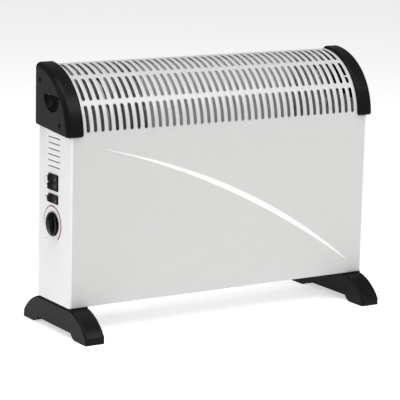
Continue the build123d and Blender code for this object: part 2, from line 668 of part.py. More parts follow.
# ---- Fan -------------------------------------------------------------------
STATOR_X = (-180.0, -166.0)
MOTOR_SCREW_Y = 19.5
ROTOR_R = 12.2


def fan_shroud():
    """Ring with a three-armed spider that carries the motor."""
    x0 = -157.5
    ring = rod_x(x0, FAN_PLATE_X, 0, FAN_Z, SHROUD_R + 1.6) - rod_x(x0 - 1, -130, 0, FAN_Z, SHROUD_R)
    flange = rod_x(FAN_PLATE_X - 1.2, FAN_PLATE_X, 0, FAN_Z, 41) - rod_x(-140, -130, 0, FAN_Z, SHROUD_R)
    hub = block(x0, x0 + 2, -24, 24, FAN_Z - 8, FAN_Z + 8)
    arms = block(x0, x0 + 2, -SHROUD_R - 0.6, SHROUD_R + 0.6, FAN_Z - 4, FAN_Z + 4)
    arms += block(x0, x0 + 2, -4, 4, FAN_Z - SHROUD_R - 0.6, FAN_Z)
    shroud = ring + flange + hub + arms
    shroud -= rod_x(x0 - 1, x0 + 3, 0, FAN_Z, 5.6)
    shroud -= [rod_x(x0 - 1, x0 + 3, y, FAN_Z, 1.6) for y in (-MOTOR_SCREW_Y, MOTOR_SCREW_Y)]
    shroud -= [rod_x(-140, -130, y, z, 1.5) for y, z in shroud_screw_places()]
    return shroud


def shroud_screws():
    """Screws through the shroud's flange."""
    x0 = FAN_PLATE_X - 1.2
    return group([rod_x(x0 - 1.8, x0, y, z, 1.9) + rod_x(x0, x0 + 6, y, z, 1.4)
                  for y, z in shroud_screw_places()])


def motor_stator():
    """Laminated core with the rotor's bore and the coil's limb."""
    x0, x1 = STATOR_X
    core = block(x0, x1, -25, 25, FAN_Z - 18, FAN_Z + 36)
    core -= block(x0 - 1, x1 + 1, -15.2, 15.2, FAN_Z + 16, FAN_Z + 26)
    core -= rod_x(x0 - 1, x1 + 1, 0, FAN_Z, ROTOR_R + 0.5)
    core -= [rod_x(x0 - 1, x1 + 1, y, FAN_Z, 1.6) for y in (-MOTOR_SCREW_Y, MOTOR_SCREW_Y)]
    return core


def motor_coil():
    """Coil round the core's upper limb."""
    x0, x1 = STATOR_X
    coil = block(x0 - 8, x1 + 7, -15, 15, FAN_Z + 17, FAN_Z + 45)
    coil = fillet(coil.edges().filter_by(Axis.Y), 3)
    return coil - block(x0, x1, -20, 20, FAN_Z + 26, FAN_Z + 36)


def bearing_bracket(x_core, direction):
    """Bridge with two feet on the core and a seat for a bearing."""
    reach = 7.0
    x_in, x_out = x_core + direction * reach, x_core + direction * (reach + 1.5)
    lo, hi = sorted((x_in, x_out))
    bracket = block(lo, hi, -24, 24, FAN_Z - 6.5, FAN_Z + 6.5)
    for y in (-MOTOR_SCREW_Y, MOTOR_SCREW_Y):
        bracket += rod_x(*sorted((x_core, x_in)), y, FAN_Z, 3.6)
        bracket -= rod_x(x_core - 20, x_core + 20, y, FAN_Z, 1.6)
    return bracket - rod_x(lo - 1, hi + 1, 0, FAN_Z, 5.0)


def motor_bearings():
    """Two sintered bushes."""
    bushes = []
    for x0, x1 in ((-190.0, -186.0), (-161.0, -156.0)):
        bush = rod_x(x0, x1, 0, FAN_Z, 5.0)
        bushes.append(bush - rod_x(x0 - 1, x1 + 1, 0, FAN_Z, SHAFT_R + RUNNING_GAP))
    return group(bushes)


def motor_rotor():
    """Squirrel-cage rotor."""
    return rod_x(-180.5, -165.5, 0, FAN_Z, ROTOR_R) - rod_x(-190, -150, 0, FAN_Z, SHAFT_R)


def motor_shaft():
    """Rotor shaft, which the impeller is pressed on."""
    return rod_x(-191.0, -139.0, 0, FAN_Z, SHAFT_R)


def motor_screws():
    """Two screws through the motor into the shroud's spider."""
    return group([rod_x(-190.5, -188.5, y, FAN_Z, 2.75) + rod_x(-188.5, -153.5, y, FAN_Z, 1.5)
                  for y in (-MOTOR_SCREW_Y, MOTOR_SCREW_Y)])


def fan_impeller():
    """Six pitched blades on a hub."""
    x0, x1 = -152.0, -137.0
    hub = rod_x(x0, x1, 0, FAN_Z, 9)
    blades = []
    for index in range(6):
        blade = Pos(0, 0, 20) * Rot(0, 0, 38) * Box(1.6, 26, 30)
        blades.append(Pos((x0 + x1) / 2, 0, FAN_Z) * Rot(60 * index, 0, 0) * blade)
    swept = rod_x(x0, x1, 0, FAN_Z, FAN_R)
    fan = hub + [blade & swept for blade in blades]
    return fan - rod_x(x0 - 1, -139.0, 0, FAN_Z, SHAFT_R)


# ---- Wiring ----------------------------------------------------------------
BLOCK_X = -220.0
BLOCK_Y = 8.0


def terminal_block():
    """Three-way terminal block on the bottom plate."""
    z0 = BASE_Z + SHEET
    body = block(BLOCK_X - 15, BLOCK_X + 15, BLOCK_Y - 9, BLOCK_Y + 9, z0, z0 + 15)
    for dx in (-10, 0, 10):
        body += rod_z(BLOCK_X + dx, BLOCK_Y - 5.5, z0 + 15, z0 + 18, 3.2)
        body += rod_z(BLOCK_X + dx, BLOCK_Y + 5.5, z0 + 15, z0 + 18, 3.2)
    body -= rod_z(BLOCK_X, BLOCK_Y, z0 - 1, z0 + 20, 1.6)
    return body


def block_screw():
    """Screw that holds the terminal block."""
    z0 = BASE_Z + SHEET
    return rod_z(BLOCK_X, BLOCK_Y, z0 + 15, z0 + 16.6, 1.9) + rod_z(BLOCK_X, BLOCK_Y, 40, z0 + 15, 1.45)


def supply_wires():
    """Wires from the terminal block to the thermostat and on to the switches."""
    top = BASE_Z + SHEET + 18
    live = wire([(-230, 13.5, top), (-230, 13.5, 84), (-250, 10, 104), (-250, 10, 133)], 1.3, 8)
    z = POWER_ROCKER_ZS[1]
    link = wire([(-250, -6, 133), (-250, -6, 118), (-222, -15, 118), (-222, -15, z),
                 (-230.7, SWITCH_Y - 6, z)], 1.3, 5)
    return group([live, link])


def element_sleeve():
    """Sleeved wires from the power switch to the element."""
    y, z = SWITCH_Y + 6, POWER_ROCKER_ZS[1]
    points = [(-231.5, y, z), (-216, y, z), (-216, 30, 170), (-216, 30, 84),
              (-121, 30, 84), (-121, 10, 104), (-125, 10, 143.5)]
    return wire(points, SLEEVE_R, 8)


def motor_sleeve():
    """Sleeved wires from the fan switch to the motor."""
    y, z = SWITCH_Y - 6, FAN_SWITCH_Z
    return wire([(-231.5, y, z), (-214, y, z), (-208, -30, 190), (-173, -30, 190),
                 (-173, -5, 190), (-173, -5, 173)], SLEEVE_R, 6)


# ---- Write every sub-part --------------------------------------------------
SUBPARTS = {
    "front_casing": front_casing,
    "rear_panel": rear_panel,
    "bottom_plate": bottom_plate,
    "rear_panel_screws": rear_panel_screws,
    "cord_gland": cord_gland,
    "right_end_cap": right_end_cap,
    "left_end_cap": lambda: mirror(right_end_cap(), Plane.YZ),
    "end_cap_screws": end_cap_screws,
    "right_foot": right_foot,
    "left_foot": lambda: mirror(right_foot(), Plane.YZ),
    "foot_screws": foot_screws,
    "power_switch_housing": lambda: switch_housing(POWER_Z, POWER_H, POWER_ROCKER_ZS),
    "upper_power_rocker": lambda: rocker(POWER_ROCKER_ZS[0]),
    "lower_power_rocker": lambda: rocker(POWER_ROCKER_ZS[1]),
    "fan_switch_housing": lambda: switch_housing(FAN_SWITCH_Z, FAN_SWITCH_H, [FAN_SWITCH_Z]),
    "fan_switch_rocker": fan_switch_rocker,
    "fan_rocker_marker": fan_rocker_marker,
    "switch_terminals": switch_terminals,
    "thermostat_base": thermostat_base,
    "thermostat_spindle": thermostat_spindle,
    "thermostat_knob": thermostat_knob,
    "thermostat_screws": thermostat_screws,
    "thermostat_bimetal": thermostat_bimetal,
    "thermostat_terminals": thermostat_terminals,
    "control_bay_partition": control_bay_partition,
    "fan_plate": fan_plate,
    "end_plate": lambda: cross_plate(END_PLATE_X),
    "plate_rivets": plate_rivets,
    "wire_grommets": wire_grommets,
    "element_rails": element_rails,
    "mica_boards": mica_boards,
    "low_power_coil": lambda: heating_coil(LOW_COIL_YS),
    "high_power_coil": lambda: heating_coil(HIGH_COIL_YS),
    "element_studs": element_studs,
    "cutout_bracket": cutout_bracket,
    "thermal_cutout": thermal_cutout,
    "fan_shroud": fan_shroud,
    "shroud_screws": shroud_screws,
    "motor_stator": motor_stator,
    "motor_coil": motor_coil,
    "rear_bearing_bracket": lambda: bearing_bracket(STATOR_X[0], -1),
    "front_bearing_bracket": lambda: bearing_bracket(STATOR_X[1], 1),
    "motor_bearings": motor_bearings,
    "motor_rotor": motor_rotor,
    "motor_shaft": motor_shaft,
    "motor_screws": motor_screws,
    "fan_impeller": fan_impeller,
    "terminal_block": terminal_block,
    "block_screw": block_screw,
    "supply_wires": supply_wires,
    "element_sleeve": element_sleeve,
    "motor_sleeve": motor_sleeve,
}

for name, make in SUBPARTS.items():
    save(name, make())
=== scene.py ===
"""Fan convector heater: enamelled casing with its grille, mouldings, controls, screws and heating coils.

Metres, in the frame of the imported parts: X along the width, Y from front (-) to rear (+), Z up.
"""
from math import asin, cos, pi, radians, sin, sqrt

import bmesh
import bpy
from bpy.props import FloatProperty, FloatVectorProperty, IntProperty, PointerProperty
from bpy.types import Operator, Panel, PropertyGroup
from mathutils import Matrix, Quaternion, Vector
from mathutils.bvhtree import BVHTree


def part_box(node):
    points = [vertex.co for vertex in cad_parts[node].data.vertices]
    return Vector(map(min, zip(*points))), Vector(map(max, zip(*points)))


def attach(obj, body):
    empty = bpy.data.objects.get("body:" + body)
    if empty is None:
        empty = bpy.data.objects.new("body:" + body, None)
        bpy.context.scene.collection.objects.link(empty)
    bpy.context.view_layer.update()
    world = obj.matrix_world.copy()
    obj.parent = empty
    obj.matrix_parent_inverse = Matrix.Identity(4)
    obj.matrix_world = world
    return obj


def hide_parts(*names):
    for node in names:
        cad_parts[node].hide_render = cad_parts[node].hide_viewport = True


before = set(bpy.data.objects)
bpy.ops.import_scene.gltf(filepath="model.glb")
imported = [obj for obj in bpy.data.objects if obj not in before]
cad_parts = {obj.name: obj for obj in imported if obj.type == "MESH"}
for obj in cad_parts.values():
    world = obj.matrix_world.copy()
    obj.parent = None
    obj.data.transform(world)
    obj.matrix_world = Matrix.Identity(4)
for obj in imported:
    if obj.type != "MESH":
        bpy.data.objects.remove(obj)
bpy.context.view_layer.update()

bl_info = {
    "name": "Fan convector heater",
    "version": (1, 0, 0),
    "blender": (4, 5, 0),
    "location": "View3D > Sidebar > Heater",
    "description": "Builds the casing, grille, controls, screws and coils of a fan convector heater",
    "category": "Add Mesh",
}

MM = 0.001
CASING_LOW, CASING_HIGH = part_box("front_casing")
REAR_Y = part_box("rear_panel")[1].y
CURVE_RADIUS = REAR_Y - CASING_LOW.y
CURVE_Z = CASING_HIGH.z - CURVE_RADIUS


# ---- Settings --------------------------------------------------------------
class CasingSettings(PropertyGroup):
    """Sheet steel casing and its grille"""
    sheet: FloatProperty(name="Sheet", description="Thickness of the steel sheet", default=0.8 * MM,
                         unit="LENGTH")
    corner: FloatProperty(name="Corner", description="Radius of the front vertical edges", default=4 * MM,
                          unit="LENGTH")
    rear_bend: FloatProperty(name="Rear bend", description="Radius of the bend at the rear top edge",
                             default=3 * MM, unit="LENGTH")
    return_width: FloatProperty(name="Return", description="Width of the flange behind each side",
                                default=12 * MM, unit="LENGTH")
    hem: FloatProperty(name="Hem", description="How far the top sheet comes down at the rear",
                       default=14 * MM, unit="LENGTH")
    columns: IntProperty(name="Columns", description="Slots side by side in the grille", default=40)
    pitch: FloatProperty(name="Pitch", description="Distance from slot to slot", default=11.75 * MM,
                         unit="LENGTH")
    slot_width: FloatProperty(name="Slot width", description="Width of one slot", default=5.4 * MM,
                              unit="LENGTH")
    rows: IntProperty(name="Rows", description="Rows of slots round the curve", default=3)
    first_row: FloatProperty(name="First row", description="Where the middle of the lowest row lies",
                             default=radians(16.25), subtype="ANGLE")
    row_pitch: FloatProperty(name="Row pitch", description="Turn from row to row",
                             default=radians(27.9), subtype="ANGLE")
    slot_sweep: FloatProperty(name="Slot sweep", description="How far one slot runs round the curve",
                              default=radians(23.5), subtype="ANGLE")
    edge: FloatProperty(name="Edge", description="Rounding of the punched edges under the enamel",
                        default=0.25 * MM, unit="LENGTH")
    side_top: FloatProperty(name="Side top", description="Top of the side walls at mid depth",
                            default=309.5 * MM, unit="LENGTH")
    side_slope: FloatProperty(name="Side slope", description="Rise of that edge towards the rear",
                              default=0.17)
    vents: IntProperty(name="Vents", description="Narrow slits above the switches", default=6)
    vent_top: FloatProperty(name="Top vent", description="Height of the highest slit", default=280.9 * MM,
                            unit="LENGTH")
    vent_pitch: FloatProperty(name="Vent pitch", description="Distance from slit to slit",
                              default=8.36 * MM, unit="LENGTH")
    vent_middle: FloatProperty(name="Vent middle", description="Where their middles lie", default=1.4 * MM,
                               unit="LENGTH")
    vent_length: FloatProperty(name="Vent length", description="Length of a slit", default=35 * MM,
                               unit="LENGTH")
    vent_width: FloatProperty(name="Vent width", description="Width of a slit", default=1.4 * MM,
                              unit="LENGTH")


class ColourSettings(PropertyGroup):
    """Colours of the surfaces that show"""
    enamel: FloatVectorProperty(name="Enamel", description="White of the casing", subtype="COLOR",
                                default=(0.54, 0.541, 0.534))
    moulding: FloatVectorProperty(name="Moulding", description="Black of the end caps and feet",
                                  subtype="COLOR", default=(0.007, 0.007, 0.0073))
    # Pale zinc grey of the rear panel, set paler than the enamel: partly its own colour, partly painted
    # light on the inside seen through the slots
    rear_inside_painted_light: FloatVectorProperty(name="Rear panel", description="Pale zinc grey of the rear panel",
                                     subtype="COLOR", default=(0.7, 0.735, 0.715))
    # Glossy black of the knob and the switch housings (the rockers take the moulding black); on the housings
    # this darker black is partly painted shade beside the rockers
    gloss_and_painted_shade: FloatVectorProperty(name="Gloss", description="Black of the knob and the rockers",
                               subtype="COLOR", default=(0.0022, 0.0024, 0.0024))
    scale_red: FloatVectorProperty(name="Red", description="Red of the dial's scale", subtype="COLOR",
                                   default=(0.2, 0.006, 0.01))
    print_grey: FloatVectorProperty(name="Grey print", description="Grey of the small printed marks",
                                    subtype="COLOR", default=(0.05, 0.05, 0.053))
    arc_white: FloatVectorProperty(name="Arc", description="White of the arc across the front",
                                   subtype="COLOR", default=(0.8, 0.8, 0.79))


class CoilSettings(PropertyGroup):
    """Wound resistance wire"""
    turn: FloatProperty(name="Turn", description="Distance from turn to turn", default=2.4 * MM,
                        unit="LENGTH")
    wire: FloatProperty(name="Wire", description="Radius of the wire", default=0.35 * MM, unit="LENGTH")
    steps: IntProperty(name="Steps", description="Points in one turn", default=12)


class ScrewSettings(PropertyGroup):
    """Cross-recess screws"""
    thread: FloatProperty(name="Thread", description="Distance from thread to thread", default=1.1 * MM,
                          unit="LENGTH")
    seed: IntProperty(name="Seed", description="Which way the recesses happen to point", default=7)


class MarkSettings(PropertyGroup):
    """Printed marks"""
    ink: FloatProperty(name="Ink", description="Thickness of the print", default=0.06 * MM, unit="LENGTH")
    arc_width: FloatProperty(name="Arc width", description="Widest part of the front arc",
                             default=8.4 * MM, unit="LENGTH")
    arc_rise: FloatProperty(name="Arc rise", description="How far the arc's middle stands off its chord",
                            default=25 * MM, unit="LENGTH")
    scale_radius: FloatProperty(name="Scale radius", description="Radius of the dial's red scale",
                                default=25.6 * MM, unit="LENGTH")
    scale_width: FloatProperty(name="Scale width", description="Widest part of the red scale",
                               default=2.7 * MM, unit="LENGTH")


class StageSettings(PropertyGroup):
    """Camera and studio"""
    heading: FloatProperty(name="Heading", description="How far round to the left the camera stands",
                           default=radians(32.54), subtype="ANGLE")
    height: FloatProperty(name="Height", description="How far above level it looks from",
                          default=radians(11.54), subtype="ANGLE")
    roll: FloatProperty(name="Roll", description="Turn about the line of sight", default=radians(1.39),
                        subtype="ANGLE")
    distance: FloatProperty(name="Distance", description="Camera to target", default=2.8653, unit="LENGTH")
    target_x: FloatProperty(name="Target X", description="Where it looks, across", default=-0.01227,
                            unit="LENGTH")
    target_z: FloatProperty(name="Target Z", description="Where it looks, up", default=0.16987,
                            unit="LENGTH")
    lens: FloatProperty(name="Lens", description="Focal length on a 36 mm sensor", default=173.5)
    world: FloatProperty(name="World", description="Strength of the even light all round", default=0.27)
    floor_glow: FloatProperty(name="Floor glow", description="Light through the white floor", default=0.57)


# ---- Materials -------------------------------------------------------------
def add_node(tree, kind, inputs=None, **settings):
    """A node with its settings, and its inputs set or linked by name."""
    node = tree.nodes.new(kind)
    for key, value in settings.items():
        setattr(node, key, value)
    for key, value in (inputs or {}).items():
        if isinstance(value, bpy.types.NodeSocket):
            tree.links.new(value, node.inputs[key])
        else:
            node.inputs[key].default_value = value
    return node


def noise(tree, scale, detail=2.0, stretch=(1, 1, 1)):
    """Noise in the object's own coordinates, scale in features to the metre."""
    place = add_node(tree, "ShaderNodeTexCoord")
    mapping = add_node(tree, "ShaderNodeMapping", {"Vector": place.outputs["Object"], "Scale": stretch})
    texture = add_node(tree, "ShaderNodeTexNoise",
                       {"Vector": mapping.outputs["Vector"], "Scale": scale, "Detail": detail})
    return texture.outputs["Fac"]


def spread(tree, factor, low, high):
    """The noise's middle band stretched to run from low to high."""
    node = add_node(tree, "ShaderNodeMapRange", {"Value": factor, "From Min": 0.3, "From Max": 0.7,
                                                 "To Min": low, "To Max": high})
    return node.outputs["Result"]


def worn_edges(tree, radius):
    """1 on edges sharper than the radius, 0 on flats."""
    rounded = add_node(tree, "ShaderNodeBevel", {"Radius": radius}, samples=4)
    flat = add_node(tree, "ShaderNodeNewGeometry")
    same = add_node(tree, "ShaderNodeVectorMath", {0: rounded.outputs["Normal"], 1: flat.outputs["Normal"]},
                    operation="DOT_PRODUCT")
    mask = add_node(tree, "ShaderNodeMapRange", {"Value": same.outputs["Value"], "From Min": 0.995,
                                                 "From Max": 0.86, "To Min": 0.0, "To Max": 1.0})
    return mask.outputs["Result"], rounded.outputs["Normal"]


def finish(name, colour, roughness, metallic=0.0, grain=(900, 0.05), mottle=(30, 0.05), tint=0.06,
           edge=0.0, edge_light=0.0, stretch=(1, 1, 1), coat=0.0, specular=0.5, rounding=0.35):
    """A surface with its grain as bump, its roughness mottled, its colour uneven and its edges worn.

    grain is (features per metre, depth in mm), mottle is (features per metre, swing of roughness).
    """
    material = bpy.data.materials.new(name)
    material.use_nodes = True
    tree = material.node_tree
    shader = tree.nodes["Principled BSDF"]
    shader.inputs["Metallic"].default_value = metallic
    shader.inputs["Specular IOR Level"].default_value = specular
    shader.inputs["Coat Weight"].default_value = coat
    shader.inputs["Coat Roughness"].default_value = 0.08
    mottled = noise(tree, mottle[0], 4.0, stretch)
    rough = spread(tree, mottled, roughness - mottle[1], roughness + mottle[1])
    black_in_shaded_recess = tuple(c * (1 - tint) for c in colour) + (1,)
    light = tuple(min(c * (1 + tint), 1) for c in colour) + (1,)
    uneven = add_node(tree, "ShaderNodeMix", {"Factor": spread(tree, mottled, 0.0, 1.0)}, data_type="RGBA")
    uneven.inputs[6].default_value = black_in_shaded_recess
    uneven.inputs[7].default_value = light
    shown = uneven.outputs[2]
    worn, rounded = worn_edges(tree, rounding * MM)
    if edge_light:
        paler = add_node(tree, "ShaderNodeMath", {0: worn, 1: edge}, operation="MULTIPLY")
        scuffed = add_node(tree, "ShaderNodeMix", {"Factor": paler.outputs[0]}, data_type="RGBA")
        scuffed.inputs[7].default_value = tuple(min(c + edge_light, 1) for c in colour) + (1,)
        tree.links.new(shown, scuffed.inputs[6])
        shown = scuffed.outputs[2]
    tree.links.new(shown, shader.inputs["Base Color"])
    tree.links.new(rough, shader.inputs["Roughness"])
    relief = add_node(tree, "ShaderNodeBump", {"Height": noise(tree, grain[0], 3.0, stretch),
                                               "Distance": grain[1] * MM, "Strength": 0.6,
                                               "Normal": rounded})
    tree.links.new(relief.outputs["Normal"], shader.inputs["Normal"])
    return material


def dress(material, *nodes):
    """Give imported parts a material."""
    for name in nodes:
        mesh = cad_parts[name].data
        mesh.materials.clear()
        mesh.materials.append(material)


# ---- Geometry helpers ------------------------------------------------------
def new_object(name, mesh):
    """An object for a mesh, in the scene, at the origin."""
    made = bpy.data.objects.new(name, mesh)
    bpy.context.scene.collection.objects.link(made)
    return made


def mesh_from(name, points, faces):
    """A mesh from its points and faces, with doubles merged."""
    mesh = bpy.data.meshes.new(name)
    mesh.from_pydata([tuple(p) for p in points], [], faces)
    edit = bmesh.new()
    edit.from_mesh(mesh)
    bmesh.ops.remove_doubles(edit, verts=edit.verts, dist=1e-6)
    edit.to_mesh(mesh)
    edit.free()
    return mesh


def bake(made):
    """Turn the object's modifiers into a plain mesh."""
    graph = bpy.context.evaluated_depsgraph_get()
    mesh = bpy.data.meshes.new_from_object(made.evaluated_get(graph))
    made.modifiers.clear()
    made.data = mesh
    return made


def outward(mesh):
    """Merge doubles and make every closed shell face outwards."""
    edit = bmesh.new()
    edit.from_mesh(mesh)
    bmesh.ops.remove_doubles(edit, verts=edit.verts, dist=1e-6)
    bmesh.ops.recalc_face_normals(edit, faces=edit.faces)
    edit.to_mesh(mesh)
    edit.free()


def shade(mesh, angle=35):
    """Smooth shading, with edges sharper than the angle kept crisp."""
    edit = bmesh.new()
    edit.from_mesh(mesh)
    for face in edit.faces:
        face.smooth = True
    for edge in edit.edges:
        turned = edge.calc_face_angle(0) if len(edge.link_faces) == 2 else pi
        edge.smooth = turned < radians(angle)
    edit.to_mesh(mesh)
    edit.free()


def islands(node):
    """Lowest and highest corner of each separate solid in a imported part."""
    edit = bmesh.new()
    edit.from_mesh(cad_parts[node].data)
    bmesh.ops.remove_doubles(edit, verts=edit.verts, dist=1e-6)
    left = set(edit.verts)
    boxes = []
    while left:
        shell = [left.pop()]
        low, high = shell[0].co.copy(), shell[0].co.copy()
        while shell:
            vertex = shell.pop()
            low = Vector(map(min, low, vertex.co))
            high = Vector(map(max, high, vertex.co))
            for edge in vertex.link_edges:
                other = edge.other_vert(vertex)
                if other in left:
                    left.remove(other)
                    shell.append(other)
        boxes.append((low, high))
    edit.free()
    return sorted(boxes, key=lambda box: tuple(box[0]))


def geometry_tree(name, sockets):
    """A Geometry Nodes tree with named inputs, given as (name, socket type)."""
    tree = bpy.data.node_groups.new(name, "GeometryNodeTree")
    tree.interface.new_socket("Geometry", in_out="INPUT", socket_type="NodeSocketGeometry")
    for label, kind in sockets:
        tree.interface.new_socket(label, in_out="INPUT", socket_type=kind)
    tree.interface.new_socket("Geometry", in_out="OUTPUT", socket_type="NodeSocketGeometry")
    start = add_node(tree, "NodeGroupInput")
    return tree, start.outputs


def end_tree(tree, instances, material):
    """Realize Instances and Set Material, which every tree ends in."""
    real = add_node(tree, "GeometryNodeRealizeInstances", {"Geometry": instances})
    finished = add_node(tree, "GeometryNodeSetMaterial", {"Geometry": real.outputs["Geometry"],
                                                          "Material": material})
    add_node(tree, "NodeGroupOutput", {"Geometry": finished.outputs["Geometry"]})


def run_tree(made, tree, values):
    """Run a tree on an object with its inputs set, and keep the result as a plain mesh."""
    modifier = made.modifiers.new(tree.name, "NODES")
    modifier.node_group = tree
    for item in tree.interface.items_tree:
        if item.in_out == "INPUT" and item.name in values:
            modifier[item.identifier] = values[item.name]
    return bake(made)


def discard(*objects):
    """Remove patterns and guides that aren't part of the heater."""
    for unwanted in objects:
        bpy.data.objects.remove(unwanted)


# ---- Casing ----------------------------------------------------------------
STRAIGHT_STEPS = 8        # divisions along a slot's straight sides
ARC_STEPS = 8             # divisions round a slot's end


def slot_cell(settings):
    """One flat cell of the grille round its slot, with X across and Y along, and its side levels."""
    half_w = settings.pitch / 2
    half_h = CURVE_RADIUS * settings.row_pitch / 2
    end_r = settings.slot_width / 2
    straight = CURVE_RADIUS * settings.slot_sweep / 2 - end_r
    inner, outer = [], []
    for step in range(STRAIGHT_STEPS + 1):
        y = straight * (2 * step / STRAIGHT_STEPS - 1)
        inner.append((end_r, y))
        outer.append((half_w, y))
    rise = half_h - straight
    corner_steps = ARC_STEPS // 4
    for step in range(1, ARC_STEPS):
        turn = pi * step / ARC_STEPS
        inner.append((end_r * cos(turn), straight + end_r * sin(turn)))
        across = half_w * (1 - (step - corner_steps) / corner_steps)
        up = min(step, ARC_STEPS - step, corner_steps) / corner_steps
        outer.append((max(-half_w, min(half_w, across)), straight + rise * up))
    inner += [(-x, -y) for x, y in inner]
    outer += [(-x, -y) for x, y in outer]
    count = len(inner)
    points = [(x, y, 0) for x, y in inner + outer]
    faces = [(i, i + count, (i + 1) % count + count, (i + 1) % count) for i in range(count)]
    levels = sorted({round(y, 7) for x, y in outer if abs(x - half_w) < 1e-9})
    return mesh_from("slot_cell", points, faces), levels


def side_profile(settings):
    """Side view of the sheet as a guide curve: up the front, round the curve, and down the hem."""
    bend = settings.rear_bend
    centre = (REAR_Y - bend, CURVE_Z + sqrt((CURVE_RADIUS - bend)**2 - bend**2))
    last = pi - asin(bend / (CURVE_RADIUS - bend)) - pi / 2
    points = [(CASING_LOW.y, CASING_LOW.z)]
    for step in range(91):
        turn = last * step / 90
        points.append((REAR_Y - CURVE_RADIUS * cos(turn), CURVE_Z + CURVE_RADIUS * sin(turn)))
    for step in range(1, 13):
        turn = last + (pi - last) * step / 12
        points.append((centre[0] - bend * cos(turn), centre[1] + bend * sin(turn)))
    points.append((REAR_Y, CASING_HIGH.z - settings.hem))
    curve = bpy.data.curves.new("side_profile", "CURVE")
    curve.dimensions = "3D"
    spline = curve.splines.new("POLY")
    spline.points.add(len(points) - 1)
    for target, (y, z) in zip(spline.points, points):
        target.co = (0, y, z, 1)
    arc_length = CURVE_RADIUS * last
    bend_length = bend * (pi - last)
    hem_length = centre[1] - (CASING_HIGH.z - settings.hem)
    return new_object("side_profile", curve), arc_length, bend_length, hem_length


def grille_tree():
    """Cells set out in columns and rows, joined to their margins and bent along the profile."""
    tree, given = geometry_tree("Grille", [
        ("Cell", "NodeSocketObject"), ("Profile", "NodeSocketObject"), ("Columns", "NodeSocketInt"),
        ("Rows", "NodeSocketInt"), ("Width", "NodeSocketFloat"), ("Height", "NodeSocketFloat"),
        ("Middle", "NodeSocketFloat"), ("Material", "NodeSocketMaterial")])
    grid = add_node(tree, "GeometryNodeMeshGrid", {
        "Size X": given["Width"], "Size Y": given["Height"],
        "Vertices X": given["Columns"], "Vertices Y": given["Rows"]})
    lift = add_node(tree, "ShaderNodeCombineXYZ", {"Y": given["Middle"]})
    placed = add_node(tree, "GeometryNodeTransform", {"Geometry": grid.outputs["Mesh"],
                                                      "Translation": lift.outputs["Vector"]})
    cell = add_node(tree, "GeometryNodeObjectInfo", {"Object": given["Cell"], "As Instance": True})
    cells = add_node(tree, "GeometryNodeInstanceOnPoints", {"Points": placed.outputs["Geometry"],
                                                            "Instance": cell.outputs["Geometry"]})
    real = add_node(tree, "GeometryNodeRealizeInstances", {"Geometry": cells.outputs["Instances"]})
    joined = add_node(tree, "GeometryNodeJoinGeometry", {"Geometry": real.outputs["Geometry"]})
    tree.links.new(given["Geometry"], joined.inputs["Geometry"])
    merged = add_node(tree, "GeometryNodeMergeByDistance", {"Geometry": joined.outputs["Geometry"],
                                                            "Distance": 0.02 * MM})
    place = add_node(tree, "GeometryNodeInputPosition")
    flat = add_node(tree, "ShaderNodeSeparateXYZ", {"Vector": place.outputs["Position"]})
    guide = add_node(tree, "GeometryNodeObjectInfo", {"Object": given["Profile"]})
    along = add_node(tree, "GeometryNodeSampleCurve", {"Curves": guide.outputs["Geometry"],
                                                       "Length": flat.outputs["Y"]}, mode="LENGTH")
    bent = add_node(tree, "ShaderNodeSeparateXYZ", {"Vector": along.outputs["Position"]})
    there = add_node(tree, "ShaderNodeCombineXYZ", {"X": flat.outputs["X"], "Y": bent.outputs["Y"],
                                                    "Z": bent.outputs["Z"]})
    moved = add_node(tree, "GeometryNodeSetPosition", {"Geometry": merged.outputs["Geometry"],
                                                       "Position": there.outputs["Vector"]})
    end_tree(tree, moved.outputs["Geometry"], given["Material"])
    return tree


def filled_wall(edit, x, outline, holes):
    """A flat wall at x, with holes, from loops of (y, z)."""
    edges = []
    for loop in [outline] + holes:
        corners = [edit.verts.new((x, y, z)) for y, z in loop]
        edges += [edit.edges.new((a, b)) for a, b in zip(corners, corners[1:] + corners[:1])]
    bmesh.ops.triangle_fill(edit, use_beauty=True, use_dissolve=False, edges=edges)


def round_hole(y, z, radius, steps=32):
    """A round hole as a loop of (y, z)."""
    return [(y + radius * cos(2 * pi * i / steps), z + radius * sin(2 * pi * i / steps))
            for i in range(steps)]


def control_holes(settings):
    """Loops of the slits, the switches' openings and the dial's hole in the left wall."""
    holes = []
    half = settings.vent_length / 2
    middle = settings.vent_middle
    for index in range(settings.vents):
        z = settings.vent_top - index * settings.vent_pitch
        r = settings.vent_width / 2
        ends = [(middle + half - r, -pi / 2), (middle - half + r, pi / 2)]
        holes.append([(y + r * cos(start + pi * k / 8), z + r * sin(start + pi * k / 8))
                      for y, start in ends for k in range(9)])
    for node in ("power_switch_housing", "fan_switch_housing"):
        low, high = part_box(node)
        y0, y1, z0, z1 = low.y + 0.8 * MM, high.y - 0.8 * MM, low.z + 0.7 * MM, high.z - 0.7 * MM
        holes.append([(y0, z0), (y1, z0), (y1, z1), (y0, z1)])
    low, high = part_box("thermostat_spindle")
    holes.append(round_hole((low.y + high.y) / 2, (low.z + high.z) / 2, 5 * MM))
    return holes


